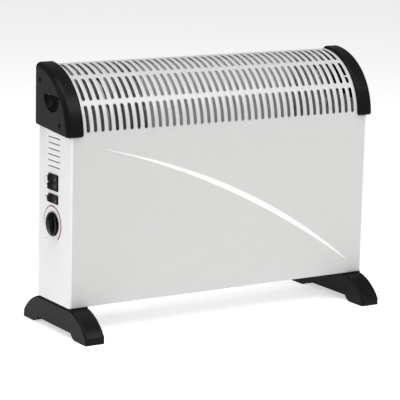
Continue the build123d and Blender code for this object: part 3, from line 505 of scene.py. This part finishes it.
def side_walls(edit, settings, heights):
    """Both corner bends, side walls and rear returns, joined to the front at the given heights.

    heights is a list of (y of the front, z), from the bottom up.
    """
    corner = settings.corner
    half_w = CASING_HIGH.x
    wall_rear = REAR_Y - settings.sheet
    bend = 1.5 * MM
    for side in (-1, 1):
        rings = []
        for front, z in heights:
            rings.append([edit.verts.new((side * (half_w - corner + corner * sin(pi / 2 * k / 8)),
                                          front + corner - corner * cos(pi / 2 * k / 8), z))
                          for k in range(9)])
        for lower, upper in zip(rings, rings[1:]):
            for k in range(8):
                edit.faces.new((lower[k], lower[k + 1], upper[k + 1], upper[k]))
        rear_turn = wall_rear - bend
        outline = [(front + corner, z) for front, z in heights]
        front_y = outline[-1][0]
        outline.append((front_y, settings.side_top + settings.side_slope * front_y))
        rear_top = settings.side_top + settings.side_slope * rear_turn
        outline += [(rear_turn, rear_top), (rear_turn, CASING_LOW.z)]
        filled_wall(edit, side * half_w, outline, control_holes(settings) if side < 0 else [])
        strip = [(side * (half_w - bend + bend * cos(pi / 2 * k / 4)),
                  rear_turn + bend * sin(pi / 2 * k / 4)) for k in range(5)]
        strip.append((side * (half_w - settings.sheet - settings.return_width), wall_rear))
        lower = [edit.verts.new((x, y, CASING_LOW.z)) for x, y in strip]
        upper = [edit.verts.new((x, y, rear_top)) for x, y in strip]
        for k in range(len(strip) - 1):
            edit.faces.new((lower[k], lower[k + 1], upper[k + 1], upper[k]))


def make_casing(settings, enamel):
    """The enamelled sheet: front, sides and grille, bent from one thickness."""
    cell_mesh, levels = slot_cell(settings)
    cell = new_object("slot_cell", cell_mesh)
    profile, arc_length, bend_length, hem_length = side_profile(settings)
    wall = CURVE_Z - CASING_LOW.z
    middle = wall + CURVE_RADIUS * (settings.first_row + settings.row_pitch * (settings.rows - 1) / 2)
    row_height = CURVE_RADIUS * settings.row_pitch
    first = middle - row_height * (settings.rows - 1) / 2
    rows = sorted({round(first + row_height * row + level, 7) for row in range(settings.rows)
                   for level in levels})
    tidy_rows = [rows[0]] + [b for a, b in zip(rows, rows[1:]) if b - a > 0.01 * MM]
    edge_x = settings.pitch * settings.columns / 2
    corner_x = CASING_HIGH.x - settings.corner
    quarter = settings.pitch / (ARC_STEPS // 2)
    across = [-edge_x + quarter * k for k in range(settings.columns * (ARC_STEPS // 2) + 1)]
    above = [wall + arc_length + bend_length * k / 8 for k in range(9)]
    above = [tidy_rows[-1] + 1.6 * MM] + above + [wall + arc_length + bend_length + hem_length]
    below = [0.0, wall]
    points, faces = [], []

    def sheet(xs, ys):
        """Quads between the given levels."""
        start = len(points)
        points.extend((x, y, 0) for y in ys for x in xs)
        for j in range(len(ys) - 1):
            for i in range(len(xs) - 1):
                a = start + j * len(xs) + i
                faces.append((a, a + 1, a + 1 + len(xs), a + len(xs)))

    whole = below + tidy_rows + above
    sheet([-corner_x, -edge_x], whole)
    sheet([edge_x, corner_x], whole)
    sheet(across, below + [tidy_rows[0]])
    sheet(across, [tidy_rows[-1]] + above)
    casing = new_object("casing_sheet", mesh_from("casing_sheet", points, faces))
    run_tree(casing, grille_tree(), {
        "Cell": cell, "Profile": profile, "Columns": settings.columns, "Rows": settings.rows,
        "Width": settings.pitch * (settings.columns - 1), "Height": row_height * (settings.rows - 1),
        "Middle": middle, "Material": enamel})
    discard(cell, profile)
    edit = bmesh.new()
    edit.from_mesh(casing.data)
    shoulder = []
    for level in below + tidy_rows[:3]:
        turn = max(level - wall, 0) / CURVE_RADIUS
        shoulder.append((REAR_Y - CURVE_RADIUS * cos(turn),
                         min(level, wall) + CASING_LOW.z + CURVE_RADIUS * sin(turn)))
    side_walls(edit, settings, shoulder)
    bmesh.ops.remove_doubles(edit, verts=edit.verts, dist=0.02 * MM)
    bmesh.ops.recalc_face_normals(edit, faces=edit.faces)
    front = [face for face in edit.faces if face.calc_center_median().y < CASING_LOW.y + 0.1 * MM]
    if front[0].normal.y > 0:
        bmesh.ops.reverse_faces(edit, faces=edit.faces)
    edit.to_mesh(casing.data)
    edit.free()
    thick = casing.modifiers.new("thickness", "SOLIDIFY")
    thick.thickness = settings.sheet
    thick.offset = -1
    thick.use_even_offset = True
    soft = casing.modifiers.new("edges", "BEVEL")
    soft.width = settings.edge
    soft.segments = 2
    soft.limit_method = "ANGLE"
    soft.angle_limit = radians(50)
    bake(casing)
    shade(casing.data, 40)
    return casing


# ---- Screws ----------------------------------------------------------------
def screw_pattern(head_r, head_h, shank_r, length, thread):
    """A cross-recess screw: Z is up out of the head, and the head's seat is at the origin."""
    edit = bmesh.new()
    around = 24

    def ring(radius, z):
        return [edit.verts.new((radius * cos(2 * pi * k / around), radius * sin(2 * pi * k / around), z))
                for k in range(around)]

    rings = [ring(shank_r * 0.25, -length), ring(shank_r * 0.8, -length + 1.2 * shank_r)]
    turns = max(int((length - 2 * shank_r) / thread), 1)
    for turn in range(turns):
        z = -length + 1.3 * shank_r + turn * thread
        rings += [ring(shank_r, z + thread * 0.4), ring(shank_r * 0.8, z + thread * 0.8)]
    rings += [ring(shank_r * 0.8, 0), ring(head_r, 0), ring(head_r, head_h * 0.45),
              ring(head_r * 0.95, head_h * 0.72), ring(head_r * 0.82, head_h * 0.92),
              ring(head_r * 0.62, head_h)]
    for lower, upper in zip(rings, rings[1:]):
        for k in range(around):
            edit.faces.new((lower[k], lower[(k + 1) % around], upper[(k + 1) % around], upper[k]))
    edit.faces.new(list(reversed(rings[0])))

    def cross(size, z):
        reach, wide = 0.52 * size, 0.14 * size
        corner = [(wide, wide), (wide, reach), (-wide, reach)]
        loop = []
        for quarter in range(4):
            spin = pi / 2 * quarter
            loop += [(x * cos(spin) - y * sin(spin), x * sin(spin) + y * cos(spin)) for x, y in corner]
        return [edit.verts.new((x, y, z)) for x, y in loop]

    mouth, floor = cross(head_r, head_h), cross(head_r * 0.72, head_h * 0.35)
    rims = [edit.edges.get((a, b)) or edit.edges.new((a, b))
            for loop in (rings[-1], mouth) for a, b in zip(loop, loop[1:] + loop[:1])]
    bmesh.ops.triangle_fill(edit, use_beauty=True, edges=rims)
    for k in range(len(mouth)):
        after = (k + 1) % len(mouth)
        edit.faces.new((mouth[k], mouth[after], floor[after], floor[k]))
    edit.faces.new(floor)
    mesh = bpy.data.meshes.new("screw_pattern")
    edit.to_mesh(mesh)
    edit.free()
    outward(mesh)
    shade(mesh, 40)
    return new_object("screw_pattern", mesh)


def screws_tree():
    """The pattern set at every point, facing along the point's own direction."""
    tree, given = geometry_tree("Screws", [
        ("Pattern", "NodeSocketObject"), ("Seed", "NodeSocketInt"), ("Material", "NodeSocketMaterial")])
    pattern = add_node(tree, "GeometryNodeObjectInfo", {"Object": given["Pattern"], "As Instance": True})
    facing = add_node(tree, "GeometryNodeInputNamedAttribute", {"Name": "facing"},
                      data_type="FLOAT_VECTOR")
    aim = add_node(tree, "FunctionNodeAlignRotationToVector", {"Vector": facing.outputs["Attribute"]},
                   axis="Z")
    spin = add_node(tree, "FunctionNodeRandomValue", {2: 0.0, 3: pi / 2, "Seed": given["Seed"]},
                    data_type="FLOAT")
    about = add_node(tree, "FunctionNodeAxisAngleToRotation", {"Axis": (0, 0, 1),
                                                               "Angle": spin.outputs[1]})
    turned = add_node(tree, "FunctionNodeRotateRotation", {"Rotation": aim.outputs["Rotation"],
                                                           "Rotate By": about.outputs["Rotation"]},
                      rotation_space="LOCAL")
    placed = add_node(tree, "GeometryNodeInstanceOnPoints", {
        "Points": given["Geometry"], "Instance": pattern.outputs["Geometry"],
        "Rotation": turned.outputs["Rotation"]})
    end_tree(tree, placed.outputs["Instances"], given["Material"])
    return tree


def make_screws(node, axis, facing, head, settings, tree, material):
    """Screws that stand for a packed group: axis is 0, 1 or 2, and facing is -1, 1 or 0 for outwards.

    head is the height of the head along the axis.
    """
    seats, ways, sizes = [], [], []
    for low, high in islands(node):
        way = facing or (1 if (low[axis] + high[axis]) > 0 else -1)
        seat = (low + high) / 2
        seat[axis] = high[axis] - head if way > 0 else low[axis] + head
        direction = Vector((0, 0, 0))
        direction[axis] = way
        seats.append(seat)
        ways.append(direction)
        other = (axis + 1) % 3
        sizes.append(((high[other] - low[other]) / 2, high[axis] - low[axis] - head))
    pattern = screw_pattern(sizes[0][0], head, sizes[0][0] * SHANK_SHARE[node], sizes[0][1],
                            settings.thread)
    mesh = bpy.data.meshes.new(node + "_detailed")
    mesh.from_pydata([tuple(seat) for seat in seats], [], [])
    stored = mesh.attributes.new("facing", "FLOAT_VECTOR", "POINT")
    stored.data.foreach_set("vector", [value for way in ways for value in way])
    made = new_object(node + "_detailed", mesh)
    run_tree(made, tree, {"Pattern": pattern, "Seed": settings.seed, "Material": material})
    discard(pattern)
    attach(made, "casing")
    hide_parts(node)


SHANK_SHARE = {           # shank radius as a share of the head's
    "rear_panel_screws": 0.45, "end_cap_screws": 0.52, "foot_screws": 0.53, "thermostat_screws": 0.54,
    "shroud_screws": 0.74, "motor_screws": 0.55, "block_screw": 0.76,
}
SCREW_GROUPS = [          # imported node, axis, which way the head faces, height of the head
    ("rear_panel_screws", 1, 1, 1.8 * MM), ("end_cap_screws", 0, 0, 1.7 * MM),
    ("foot_screws", 2, -1, 2.4 * MM), ("thermostat_screws", 0, -1, 1.9 * MM),
    ("shroud_screws", 0, -1, 1.8 * MM), ("motor_screws", 0, -1, 2.0 * MM),
    ("block_screw", 2, 1, 1.6 * MM),
]


# ---- Heating coils ---------------------------------------------------------
def coil_tree():
    """A helix wound about a level guide curve."""
    tree, given = geometry_tree("Wound coil", [
        ("Path", "NodeSocketObject"), ("Radius", "NodeSocketFloat"), ("Turn", "NodeSocketFloat"),
        ("Wire", "NodeSocketFloat"), ("Step", "NodeSocketFloat"), ("Material", "NodeSocketMaterial")])
    path = add_node(tree, "GeometryNodeObjectInfo", {"Object": given["Path"]})
    fine = add_node(tree, "GeometryNodeResampleCurve", {"Curve": path.outputs["Geometry"],
                                                        "Length": given["Step"]}, mode="LENGTH")
    along = add_node(tree, "GeometryNodeSplineParameter")
    turns = add_node(tree, "ShaderNodeMath", {0: along.outputs["Length"], 1: given["Turn"]},
                     operation="DIVIDE")
    angle = add_node(tree, "ShaderNodeMath", {0: turns.outputs[0], 1: 2 * pi}, operation="MULTIPLY")
    tangent = add_node(tree, "GeometryNodeInputTangent")
    sideways = add_node(tree, "ShaderNodeVectorMath", {0: tangent.outputs["Tangent"], 1: (0, 0, 1)},
                        operation="CROSS_PRODUCT")
    parts = []
    for operation, direction in (("SINE", sideways.outputs["Vector"]), ("COSINE", (0, 0, 1))):
        share = add_node(tree, "ShaderNodeMath", {0: angle.outputs[0]}, operation=operation)
        reach = add_node(tree, "ShaderNodeMath", {0: share.outputs[0], 1: given["Radius"]},
                         operation="MULTIPLY")
        part = add_node(tree, "ShaderNodeVectorMath", {0: direction, "Scale": reach.outputs[0]},
                        operation="SCALE")
        parts.append(part.outputs["Vector"])
    offset = add_node(tree, "ShaderNodeVectorMath", {0: parts[0], 1: parts[1]}, operation="ADD")
    wound = add_node(tree, "GeometryNodeSetPosition", {"Geometry": fine.outputs["Curve"],
                                                       "Offset": offset.outputs["Vector"]})
    section = add_node(tree, "GeometryNodeCurvePrimitiveCircle", {"Resolution": 6,
                                                                  "Radius": given["Wire"]})
    solid = add_node(tree, "GeometryNodeCurveToMesh", {"Curve": wound.outputs["Geometry"],
                                                       "Profile Curve": section.outputs["Curve"],
                                                       "Fill Caps": True})
    smooth = add_node(tree, "GeometryNodeSetShadeSmooth", {"Geometry": solid.outputs["Mesh"]})
    end_tree(tree, smooth.outputs["Geometry"], given["Material"])
    return tree


def coil_path(node):
    """Guide curve down the middle of a packed coil: out, round the far end, and back."""
    low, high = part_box(node)
    radius = (high.z - low.z) / 2
    z = (low.z + high.z) / 2
    y0, y1 = low.y + radius, high.y - radius
    turn_r = (y1 - y0) / 2
    far = high.x - radius - turn_r
    points = [(low.x, y0)]
    points += [(far + turn_r * sin(pi * k / 24), (y0 + y1) / 2 - turn_r * cos(pi * k / 24))
               for k in range(25)]
    points.append((low.x, y1))
    curve = bpy.data.curves.new("coil_path", "CURVE")
    curve.dimensions = "3D"
    spline = curve.splines.new("POLY")
    spline.points.add(len(points) - 1)
    for target, (x, y) in zip(spline.points, points):
        target.co = (x, y, z, 1)
    return new_object("coil_path", curve), radius


def make_coil(node, tree, settings, material):
    """A wound coil in place of a packed coil's outer shape."""
    path, radius = coil_path(node)
    made = new_object(node + "_wound", bpy.data.meshes.new(node + "_wound"))
    run_tree(made, tree, {"Path": path, "Radius": radius - settings.wire, "Turn": settings.turn,
                          "Wire": settings.wire, "Step": settings.turn / settings.steps,
                          "Material": material})
    discard(path)
    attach(made, "casing")
    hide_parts(node)


# ---- Printed marks ---------------------------------------------------------
FRONT_ARC_ENDS = (-206 * MM, 268.8 * MM), (231 * MM, 62 * MM)     # (x, z) on the front
SCALE_SHIFT = 2.4 * MM    # how far the scale's centre lies behind the dial's
SCALE_START, SCALE_STOP = radians(107), radians(-141)
SCALE_DOTS = ((117, 0.4), (126, 0.8), (134, 2))     # degrees, and mm beyond the scale's radius
SCALE_TICKS = ((142, 4.5), (-154, 2))               # the same, for the short level marks
RAY_LEAD = 0.05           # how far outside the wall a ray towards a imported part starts


def printed(name, shapes, ink, material, body, node=None):
    """Thin closed prints on the left wall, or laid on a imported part's face.

    shapes are loops of (y, z) seen from the left, each one convex or a strip's outline with its quads.
    """
    surface = None
    if node:
        surface = BVHTree.FromObject(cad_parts[node], bpy.context.evaluated_depsgraph_get())
    points, faces = [], []
    for corners, quads in shapes:
        start = len(points)
        below, above = [], []
        for y, z in corners:
            x = -CASING_HIGH.x
            if surface:
                hit = surface.ray_cast(Vector((x - RAY_LEAD, y, z)), Vector((1, 0, 0)))[0]
                x = hit.x
            below.append((x + ink / 3, y, z))
            above.append((x - ink, y, z))
        count = len(corners)
        points += below + above
        faces += [tuple(start + count + i for i in quad) for quad in quads]
        faces += [tuple(start + i for i in reversed(quad)) for quad in quads]
        rim = boundary(quads)
        faces += [(start + a, start + b, start + count + b, start + count + a) for a, b in rim]
    mesh = mesh_from(name, points, faces)
    outward(mesh)
    mesh.materials.append(material)
    made = new_object(name, mesh)
    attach(made, body)
    return made


def boundary(quads):
    """Edges that only one face has."""
    edges = [(a, b) for quad in quads for a, b in zip(quad, quad[1:] + quad[:1])]
    known = set(edges)
    return [(a, b) for a, b in edges if (b, a) not in known]


def strip(left, right):
    """Quads between two rows of points of the same number."""
    count = len(left)
    quads = [(i, i + 1, count + i + 1, count + i) for i in range(count - 1)]
    return left + right, quads


def disc(y, z, radius, steps=16):
    """A round dot."""
    return round_hole(y, z, radius, steps), [tuple(range(steps))]


def ribbon(points, width):
    """A thin line through points."""
    left, right = [], []
    for index, (y, z) in enumerate(points):
        before, after = points[max(index - 1, 0)], points[min(index + 1, len(points) - 1)]
        along = Vector((after[0] - before[0], after[1] - before[1])).normalized()
        left.append((y - along.y * width / 2, z + along.x * width / 2))
        right.append((y + along.y * width / 2, z - along.x * width / 2))
    return strip(left, right)


def scale_arc(centre, radius, width, start, stop, steps=72):
    """The dial's scale, thin at its start and full at its end."""
    inner, outer = [], []
    for step in range(steps + 1):
        share = step / steps
        turn = start + (stop - start) * share
        half = width * (0.16 + 0.34 * min(share * 1.35, 1))
        inner.append((centre[0] + (radius - half) * sin(turn), centre[1] + (radius - half) * cos(turn)))
        outer.append((centre[0] + (radius + half) * sin(turn), centre[1] + (radius + half) * cos(turn)))
    return strip(inner, outer)


def make_front_arc(settings, material):
    """A plain tapered arc across the front, printed a shade lighter than the enamel."""
    start, end = (Vector(corner) for corner in FRONT_ARC_ENDS)
    chord = end - start
    rise = Vector((-chord.y, chord.x)).normalized()
    steps = 96
    points, faces = [], []
    for step in range(steps + 1):
        share = step / steps
        bow = 1 - (2 * share - 1)**2
        middle = start + chord * share + rise * settings.arc_rise * bow
        half = settings.arc_width / 2 * sin(pi * share**1.25)**0.75
        for lean in (-1, 1):
            edge = middle + rise * half * lean
            points += [(edge.x, CASING_LOW.y + settings.ink / 3, edge.y),
                       (edge.x, CASING_LOW.y - settings.ink, edge.y)]
    for step in range(steps):
        a, b = 4 * step, 4 * step + 4
        faces += [(a + 1, b + 1, b + 3, a + 3), (a, a + 2, b + 2, b), (a, b, b + 1, a + 1),
                  (a + 2, a + 3, b + 3, b + 2)]
    mesh = mesh_from("front_arc_print", points, faces)
    outward(mesh)
    mesh.materials.append(material)
    made = new_object("front_arc_print", mesh)
    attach(made, "casing")


def make_panel_marks(settings, colours):
    """The dial's red scale, its dots and end marks, and the signs beside the switches."""
    low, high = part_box("thermostat_knob")
    dial = ((low.y + high.y) / 2, (low.z + high.z) / 2)
    red = finish("red_print", colours.scale_red, 0.4, grain=(1500, 0.01), rounding=0.02)
    grey = finish("grey_print", colours.print_grey, 0.5, grain=(1500, 0.01), rounding=0.02)
    pale = finish("pale_print", (0.6, 0.6, 0.6), 0.5, grain=(1500, 0.01), rounding=0.02)
    radius = settings.scale_radius
    centre = (dial[0] + SCALE_SHIFT, dial[1])
    arc = scale_arc(centre, radius, settings.scale_width, SCALE_START, SCALE_STOP)
    printed("dial_scale", [arc], settings.ink, red, "casing")

    def around(turn, reach):
        """A place on the scale, from the angle and the distance beyond its radius."""
        return (centre[0] + (radius + reach) * sin(radians(turn)),
                centre[1] + (radius + reach) * cos(radians(turn)))

    marks = [disc(*around(turn, reach * MM), 0.6 * MM) for turn, reach in SCALE_DOTS]
    for turn, reach in SCALE_TICKS:
        y, z = around(turn, reach * MM)
        marks.append(ribbon([(y - 1.5 * MM, z), (y + 1.5 * MM, z)], 0.9 * MM))
    low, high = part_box("power_switch_housing")
    rear = high.y
    centre = (low.z + high.z) / 2
    quarter = (high.z - low.z) / 4
    for sign in (-1, 1):
        z = centre + sign * quarter
        wave = [(rear + (4 + 6 * k / 16) * MM, z + 1.1 * MM * sin(2 * pi * k / 8)) for k in range(17)]
        marks.append(ribbon(wave, 0.45 * MM))
    marks.append(ribbon([(rear + 12 * MM, centre - quarter), (rear + 13.5 * MM, centre - quarter * 0.6),
                         (rear + 13.5 * MM, centre + quarter * 0.6), (rear + 12 * MM, centre + quarter)],
                        0.45 * MM))
    low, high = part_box("fan_switch_housing")
    hub = (high.y + 7 * MM, (low.z + high.z) / 2)
    for blade in range(3):
        turn = 2 * pi * blade / 3 + 0.4
        loop = []
        for k in range(16):
            a = 2 * pi * k / 16
            u, v = 2.1 * MM + 1.7 * MM * cos(a), 1.05 * MM * sin(a)
            loop.append((hub[0] + u * cos(turn) - v * sin(turn), hub[1] + u * sin(turn) + v * cos(turn)))
        marks.append((loop, [tuple(range(16))]))
    printed("panel_signs", marks, settings.ink, grey, "casing")
    for node, body in (("upper_power_rocker", "upper_rocker"), ("lower_power_rocker", "lower_rocker")):
        low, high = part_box(node)
        y, z = (low.y + high.y) / 2 - 6.5 * MM, (low.z + high.z) / 2
        bars = [ribbon([(y, z - 1.0 * MM), (y, z + 1.0 * MM)], 0.6 * MM)]
        printed(node + "_mark", bars, settings.ink, pale, body, node)


# ---- Operators -------------------------------------------------------------
class HEATER_OT_casing(Operator):
    """Build the enamelled casing with its grille, and enamel the rear panel"""
    bl_idname = "heater.casing"
    bl_label = "Casing and grille"

    def execute(self, context):
        colours = context.scene.heater_colours
        enamel = finish("white_enamel", colours.enamel, 0.34, grain=(1400, 0.035), mottle=(55, 0.05),
                        tint=0.012, coat=0.15, rounding=0.3)
        casing = make_casing(context.scene.heater_casing, enamel)
        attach(casing, "casing")
        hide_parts("front_casing")
        # The rear panel's paler colour is partly painted light, brightening the inside seen through the
        # grille
        dress(finish("rear_enamel_painted_light", colours.rear_inside_painted_light, 0.36, grain=(1400, 0.035), mottle=(55, 0.05),
                     tint=0.012, coat=0.1), "rear_panel")
        return {"FINISHED"}


class HEATER_OT_mouldings(Operator):
    """Finish the end caps, the feet and the cord gland"""
    bl_idname = "heater.mouldings"
    bl_label = "Mouldings"

    def execute(self, context):
        colours = context.scene.heater_colours
        moulded = finish("black_moulding", colours.moulding, 0.3, grain=(2200, 0.025), mottle=(40, 0.05),
                         tint=0.12, edge=0.4, edge_light=0.02, specular=0.07, rounding=0.5)
        dress(moulded, "left_end_cap", "right_end_cap", "left_foot", "right_foot", "cord_gland")
        return {"FINISHED"}


class HEATER_OT_controls(Operator):
    """Finish the switches, their rockers, the knob and the thermostat"""
    bl_idname = "heater.controls"
    bl_label = "Controls"

    def execute(self, context):
        colours = context.scene.heater_colours
        # Glossy black: the knob's own; on the switch housings it is also painted shade, darker than the
        # rockers
        gloss_and_painted_shade = finish("gloss_black", colours.gloss_and_painted_shade, 0.14, grain=(700, 0.006), mottle=(60, 0.04), tint=0.15,
                       edge=0.3, edge_light=0.008, specular=0.07, rounding=0.3)
        satin = finish("satin_black", colours.moulding, 0.34, grain=(2500, 0.02), tint=0.15, edge=0.3,
                       edge_light=0.015, specular=0.08, rounding=0.3)
        dress(satin, "upper_power_rocker", "lower_power_rocker", "fan_switch_rocker")
        dress(gloss_and_painted_shade, "thermostat_knob", "power_switch_housing", "fan_switch_housing")
        dress(finish("red_marker", (0.45, 0.02, 0.02), 0.3, grain=(900, 0.01)), "fan_rocker_marker")
        dress(finish("brass", (0.62, 0.44, 0.17), 0.32, 1.0, grain=(600, 0.02), mottle=(90, 0.1), tint=0.12),
              "switch_terminals", "thermostat_terminals", "thermostat_spindle")
        dress(finish("phenolic", (0.055, 0.03, 0.018), 0.42, grain=(1600, 0.04), tint=0.3),
              "thermostat_base")
        dress(finish("bimetal", (0.42, 0.4, 0.37), 0.35, 1.0, grain=(500, 0.02), stretch=(1, 1, 8)),
              "thermostat_bimetal")
        return {"FINISHED"}


class HEATER_OT_inner_parts(Operator):
    """Finish the plates, the element's carriers, the fan and the wiring"""
    bl_idname = "heater.inner_parts"
    bl_label = "Inner parts"

    def execute(self, context):
        galvanised = finish("galvanised_sheet", (0.52, 0.53, 0.54), 0.42, 1.0, grain=(260, 0.03),
                            mottle=(110, 0.14), tint=0.2, rounding=0.2)
        dress(galvanised, "bottom_plate", "control_bay_partition", "fan_plate", "end_plate",
              "element_rails", "cutout_bracket", "rear_bearing_bracket", "front_bearing_bracket")
        steel = finish("bright_steel", (0.6, 0.6, 0.6), 0.24, 1.0, grain=(800, 0.01), tint=0.1,
                       stretch=(12, 1, 1))
        dress(steel, "motor_shaft", "element_studs", "plate_rivets")
        dress(finish("mica", (0.42, 0.33, 0.2), 0.4, grain=(350, 0.05), mottle=(160, 0.15), tint=0.3,
                     stretch=(8, 1, 1), coat=0.3), "mica_boards")
        dress(finish("cutout_shell", (0.7, 0.7, 0.68), 0.35, 1.0, grain=(900, 0.02), tint=0.08),
              "thermal_cutout")
        dress(finish("fan_shroud_steel", (0.4, 0.41, 0.42), 0.45, 1.0, grain=(300, 0.03), tint=0.15),
              "fan_shroud")
        dress(finish("fan_plastic", (0.05, 0.052, 0.055), 0.4, grain=(1500, 0.04), tint=0.2),
              "fan_impeller")
        dress(finish("lamination", (0.24, 0.24, 0.25), 0.48, 1.0, grain=(1800, 0.12), mottle=(200, 0.12),
                     tint=0.25, stretch=(1, 0.02, 0.02)), "motor_stator", "motor_rotor")
        dress(finish("winding", (0.42, 0.1, 0.035), 0.36, grain=(1300, 0.2), mottle=(120, 0.1), tint=0.3,
                     stretch=(1, 0.05, 1), coat=0.3), "motor_coil")
        dress(finish("bronze", (0.5, 0.3, 0.13), 0.4, 1.0, grain=(1500, 0.05), tint=0.15),
              "motor_bearings")
        dress(finish("grommet_rubber", (0.02, 0.02, 0.02), 0.7, grain=(1200, 0.05), tint=0.2),
              "wire_grommets")
        dress(finish("natural_nylon", (0.62, 0.6, 0.52), 0.45, grain=(1200, 0.03), tint=0.06),
              "terminal_block")
        dress(finish("wire_brown", (0.11, 0.045, 0.02), 0.4, grain=(900, 0.02), tint=0.15),
              "supply_wires")
        dress(finish("glass_sleeve", (0.66, 0.62, 0.5), 0.75, grain=(1700, 0.25), tint=0.15),
              "element_sleeve", "motor_sleeve")
        return {"FINISHED"}


class HEATER_OT_screws(Operator):
    """Set a cross-recess screw in place of each plain one"""
    bl_idname = "heater.screws"
    bl_label = "Screws"

    def execute(self, context):
        zinc = finish("zinc_screw", (0.58, 0.58, 0.57), 0.3, 1.0, grain=(900, 0.03), mottle=(300, 0.1),
                      tint=0.12, edge=0.4, edge_light=0.15, rounding=0.1)
        # Black finish darkened to almost nothing and kept nearly without sheen: partly painted shade of the
        # deep screw holes in the caps and feet
        black_and_painted_shade = finish("black_screw", (0.004, 0.004, 0.0045), 0.4, grain=(900, 0.03), tint=0.2,
                       edge=0.4, edge_light=0.02, specular=0.1, rounding=0.1)
        tree = screws_tree()
        for node, axis, way, head in SCREW_GROUPS:
            black_in_shaded_recess = node in ("end_cap_screws", "foot_screws")
            make_screws(node, axis, way, head, context.scene.heater_screws, tree,
                        black_and_painted_shade if black_in_shaded_recess else zinc)
        return {"FINISHED"}


class HEATER_OT_coils(Operator):
    """Wind the two heating coils"""
    bl_idname = "heater.coils"
    bl_label = "Heating coils"

    def execute(self, context):
        wire = finish("resistance_wire", (0.2, 0.17, 0.15), 0.42, 1.0, grain=(2500, 0.02),
                      mottle=(60, 0.12), tint=0.35, rounding=0.05)
        tree = coil_tree()
        for node in ("low_power_coil", "high_power_coil"):
            make_coil(node, tree, context.scene.heater_coils, wire)
        return {"FINISHED"}


class HEATER_OT_marks(Operator):
    """Print the arc across the front, the dial's scale and the signs"""
    bl_idname = "heater.marks"
    bl_label = "Printed marks"

    def execute(self, context):
        settings, colours = context.scene.heater_marks, context.scene.heater_colours
        pale = finish("arc_print", colours.arc_white, 0.3, grain=(1500, 0.01), tint=0.01, rounding=0.02)
        make_front_arc(settings, pale)
        make_panel_marks(settings, colours)
        return {"FINISHED"}


class HEATER_OT_stage(Operator):
    """Set the pale floor, the soft lights and the camera"""
    bl_idname = "heater.stage"
    bl_label = "Stage"

    def execute(self, context):
        settings = context.scene.heater_stage
        scene = context.scene
        scene.view_settings.view_transform = "Standard"
        world = bpy.data.worlds.new("studio")
        world.use_nodes = True
        world.node_tree.nodes["Background"].inputs["Color"].default_value = (1, 1, 1, 1)
        world.node_tree.nodes["Background"].inputs["Strength"].default_value = settings.world
        scene.world = world
        half = 6.0
        mesh = mesh_from("floor", [(-half, -half, 0), (half, -half, 0), (half, half, 0), (-half, half, 0)],
                         [(0, 1, 2, 3)])
        pale = finish("pale_floor", (0.9, 0.9, 0.9), 0.6, grain=(300, 0.05), tint=0.004, specular=0.1)
        shader = pale.node_tree.nodes["Principled BSDF"]
        shader.inputs["Emission Color"].default_value = (1, 1, 1, 1)
        shader.inputs["Emission Strength"].default_value = settings.floor_glow
        mesh.materials.append(pale)
        new_object("floor", mesh)
        for name, place, size, power, aim in STUDIO_LIGHTS:
            lamp = bpy.data.lights.new(name, "AREA")
            lamp.shape = "RECTANGLE"
            lamp.size, lamp.size_y = size
            lamp.energy = power
            light = new_object(name, lamp)
            light.location = place
            light.rotation_euler = (Vector(aim) - Vector(place)).to_track_quat("-Z", "Y").to_euler()
        lens = bpy.data.cameras.new("camera")
        lens.lens = settings.lens
        lens.sensor_width = 36.0
        lens.clip_end = 50.0
        camera = new_object("camera", lens)
        level = cos(settings.height)
        forward = Vector((sin(settings.heading) * level, cos(settings.heading) * level,
                          -sin(settings.height)))
        camera.location = Vector((settings.target_x, 0, settings.target_z)) - forward * settings.distance
        aimed = forward.to_track_quat("-Z", "Y") @ Quaternion((0, 0, 1), settings.roll)
        camera.rotation_euler = aimed.to_euler()
        scene.camera = camera
        return {"FINISHED"}


STUDIO_LIGHTS = [          # name, place, size, power in watts, what it faces
    ("key_softbox", (0.9, -1.7, 2.1), (1.5, 1.2), 30.0, (0, 0, 0.3)),
    ("top_softbox", (-0.2, -0.5, 2.4), (1.2, 1.0), 28.0, (0, 0, 0.2)),
    ("left_softbox", (-1.55, 0.15, 1.35), (0.3, 1.4), 8.0, (-0.1, 0, 0.3)),
]


class HEATER_PT_panel(Panel):
    """Everything that makes up the heater"""
    bl_idname = "HEATER_PT_panel"
    bl_label = "Fan convector heater"
    bl_space_type = "VIEW_3D"
    bl_region_type = "UI"
    bl_category = "Heater"

    def draw(self, context):
        for group in SETTINGS:
            box = self.layout.box()
            values = getattr(context.scene, group)
            for key in values.__annotations__:
                box.prop(values, key)
        for operator in OPERATORS:
            self.layout.operator(operator.bl_idname)


SETTINGS = {
    "heater_casing": CasingSettings, "heater_colours": ColourSettings, "heater_coils": CoilSettings,
    "heater_screws": ScrewSettings, "heater_marks": MarkSettings, "heater_stage": StageSettings,
}
OPERATORS = [HEATER_OT_casing, HEATER_OT_mouldings, HEATER_OT_controls, HEATER_OT_inner_parts,
             HEATER_OT_screws, HEATER_OT_coils, HEATER_OT_marks, HEATER_OT_stage]


def register():
    """Add the settings, the operators and the panel."""
    for name, group in SETTINGS.items():
        bpy.utils.register_class(group)
        setattr(bpy.types.Scene, name, PointerProperty(type=group))
    for operator in OPERATORS:
        bpy.utils.register_class(operator)
    bpy.utils.register_class(HEATER_PT_panel)


def unregister():
    """Take them away again."""
    bpy.utils.unregister_class(HEATER_PT_panel)
    for operator in reversed(OPERATORS):
        bpy.utils.unregister_class(operator)
    for name, group in SETTINGS.items():
        delattr(bpy.types.Scene, name)
        bpy.utils.unregister_class(group)


def main():
    """Build the heater."""
    register()
    bpy.ops.heater.casing()
    bpy.ops.heater.mouldings()
    bpy.ops.heater.controls()
    bpy.ops.heater.inner_parts()
    bpy.ops.heater.screws()
    bpy.ops.heater.coils()
    bpy.ops.heater.marks()
    bpy.ops.heater.stage()


if __name__ == "__main__":
    main()
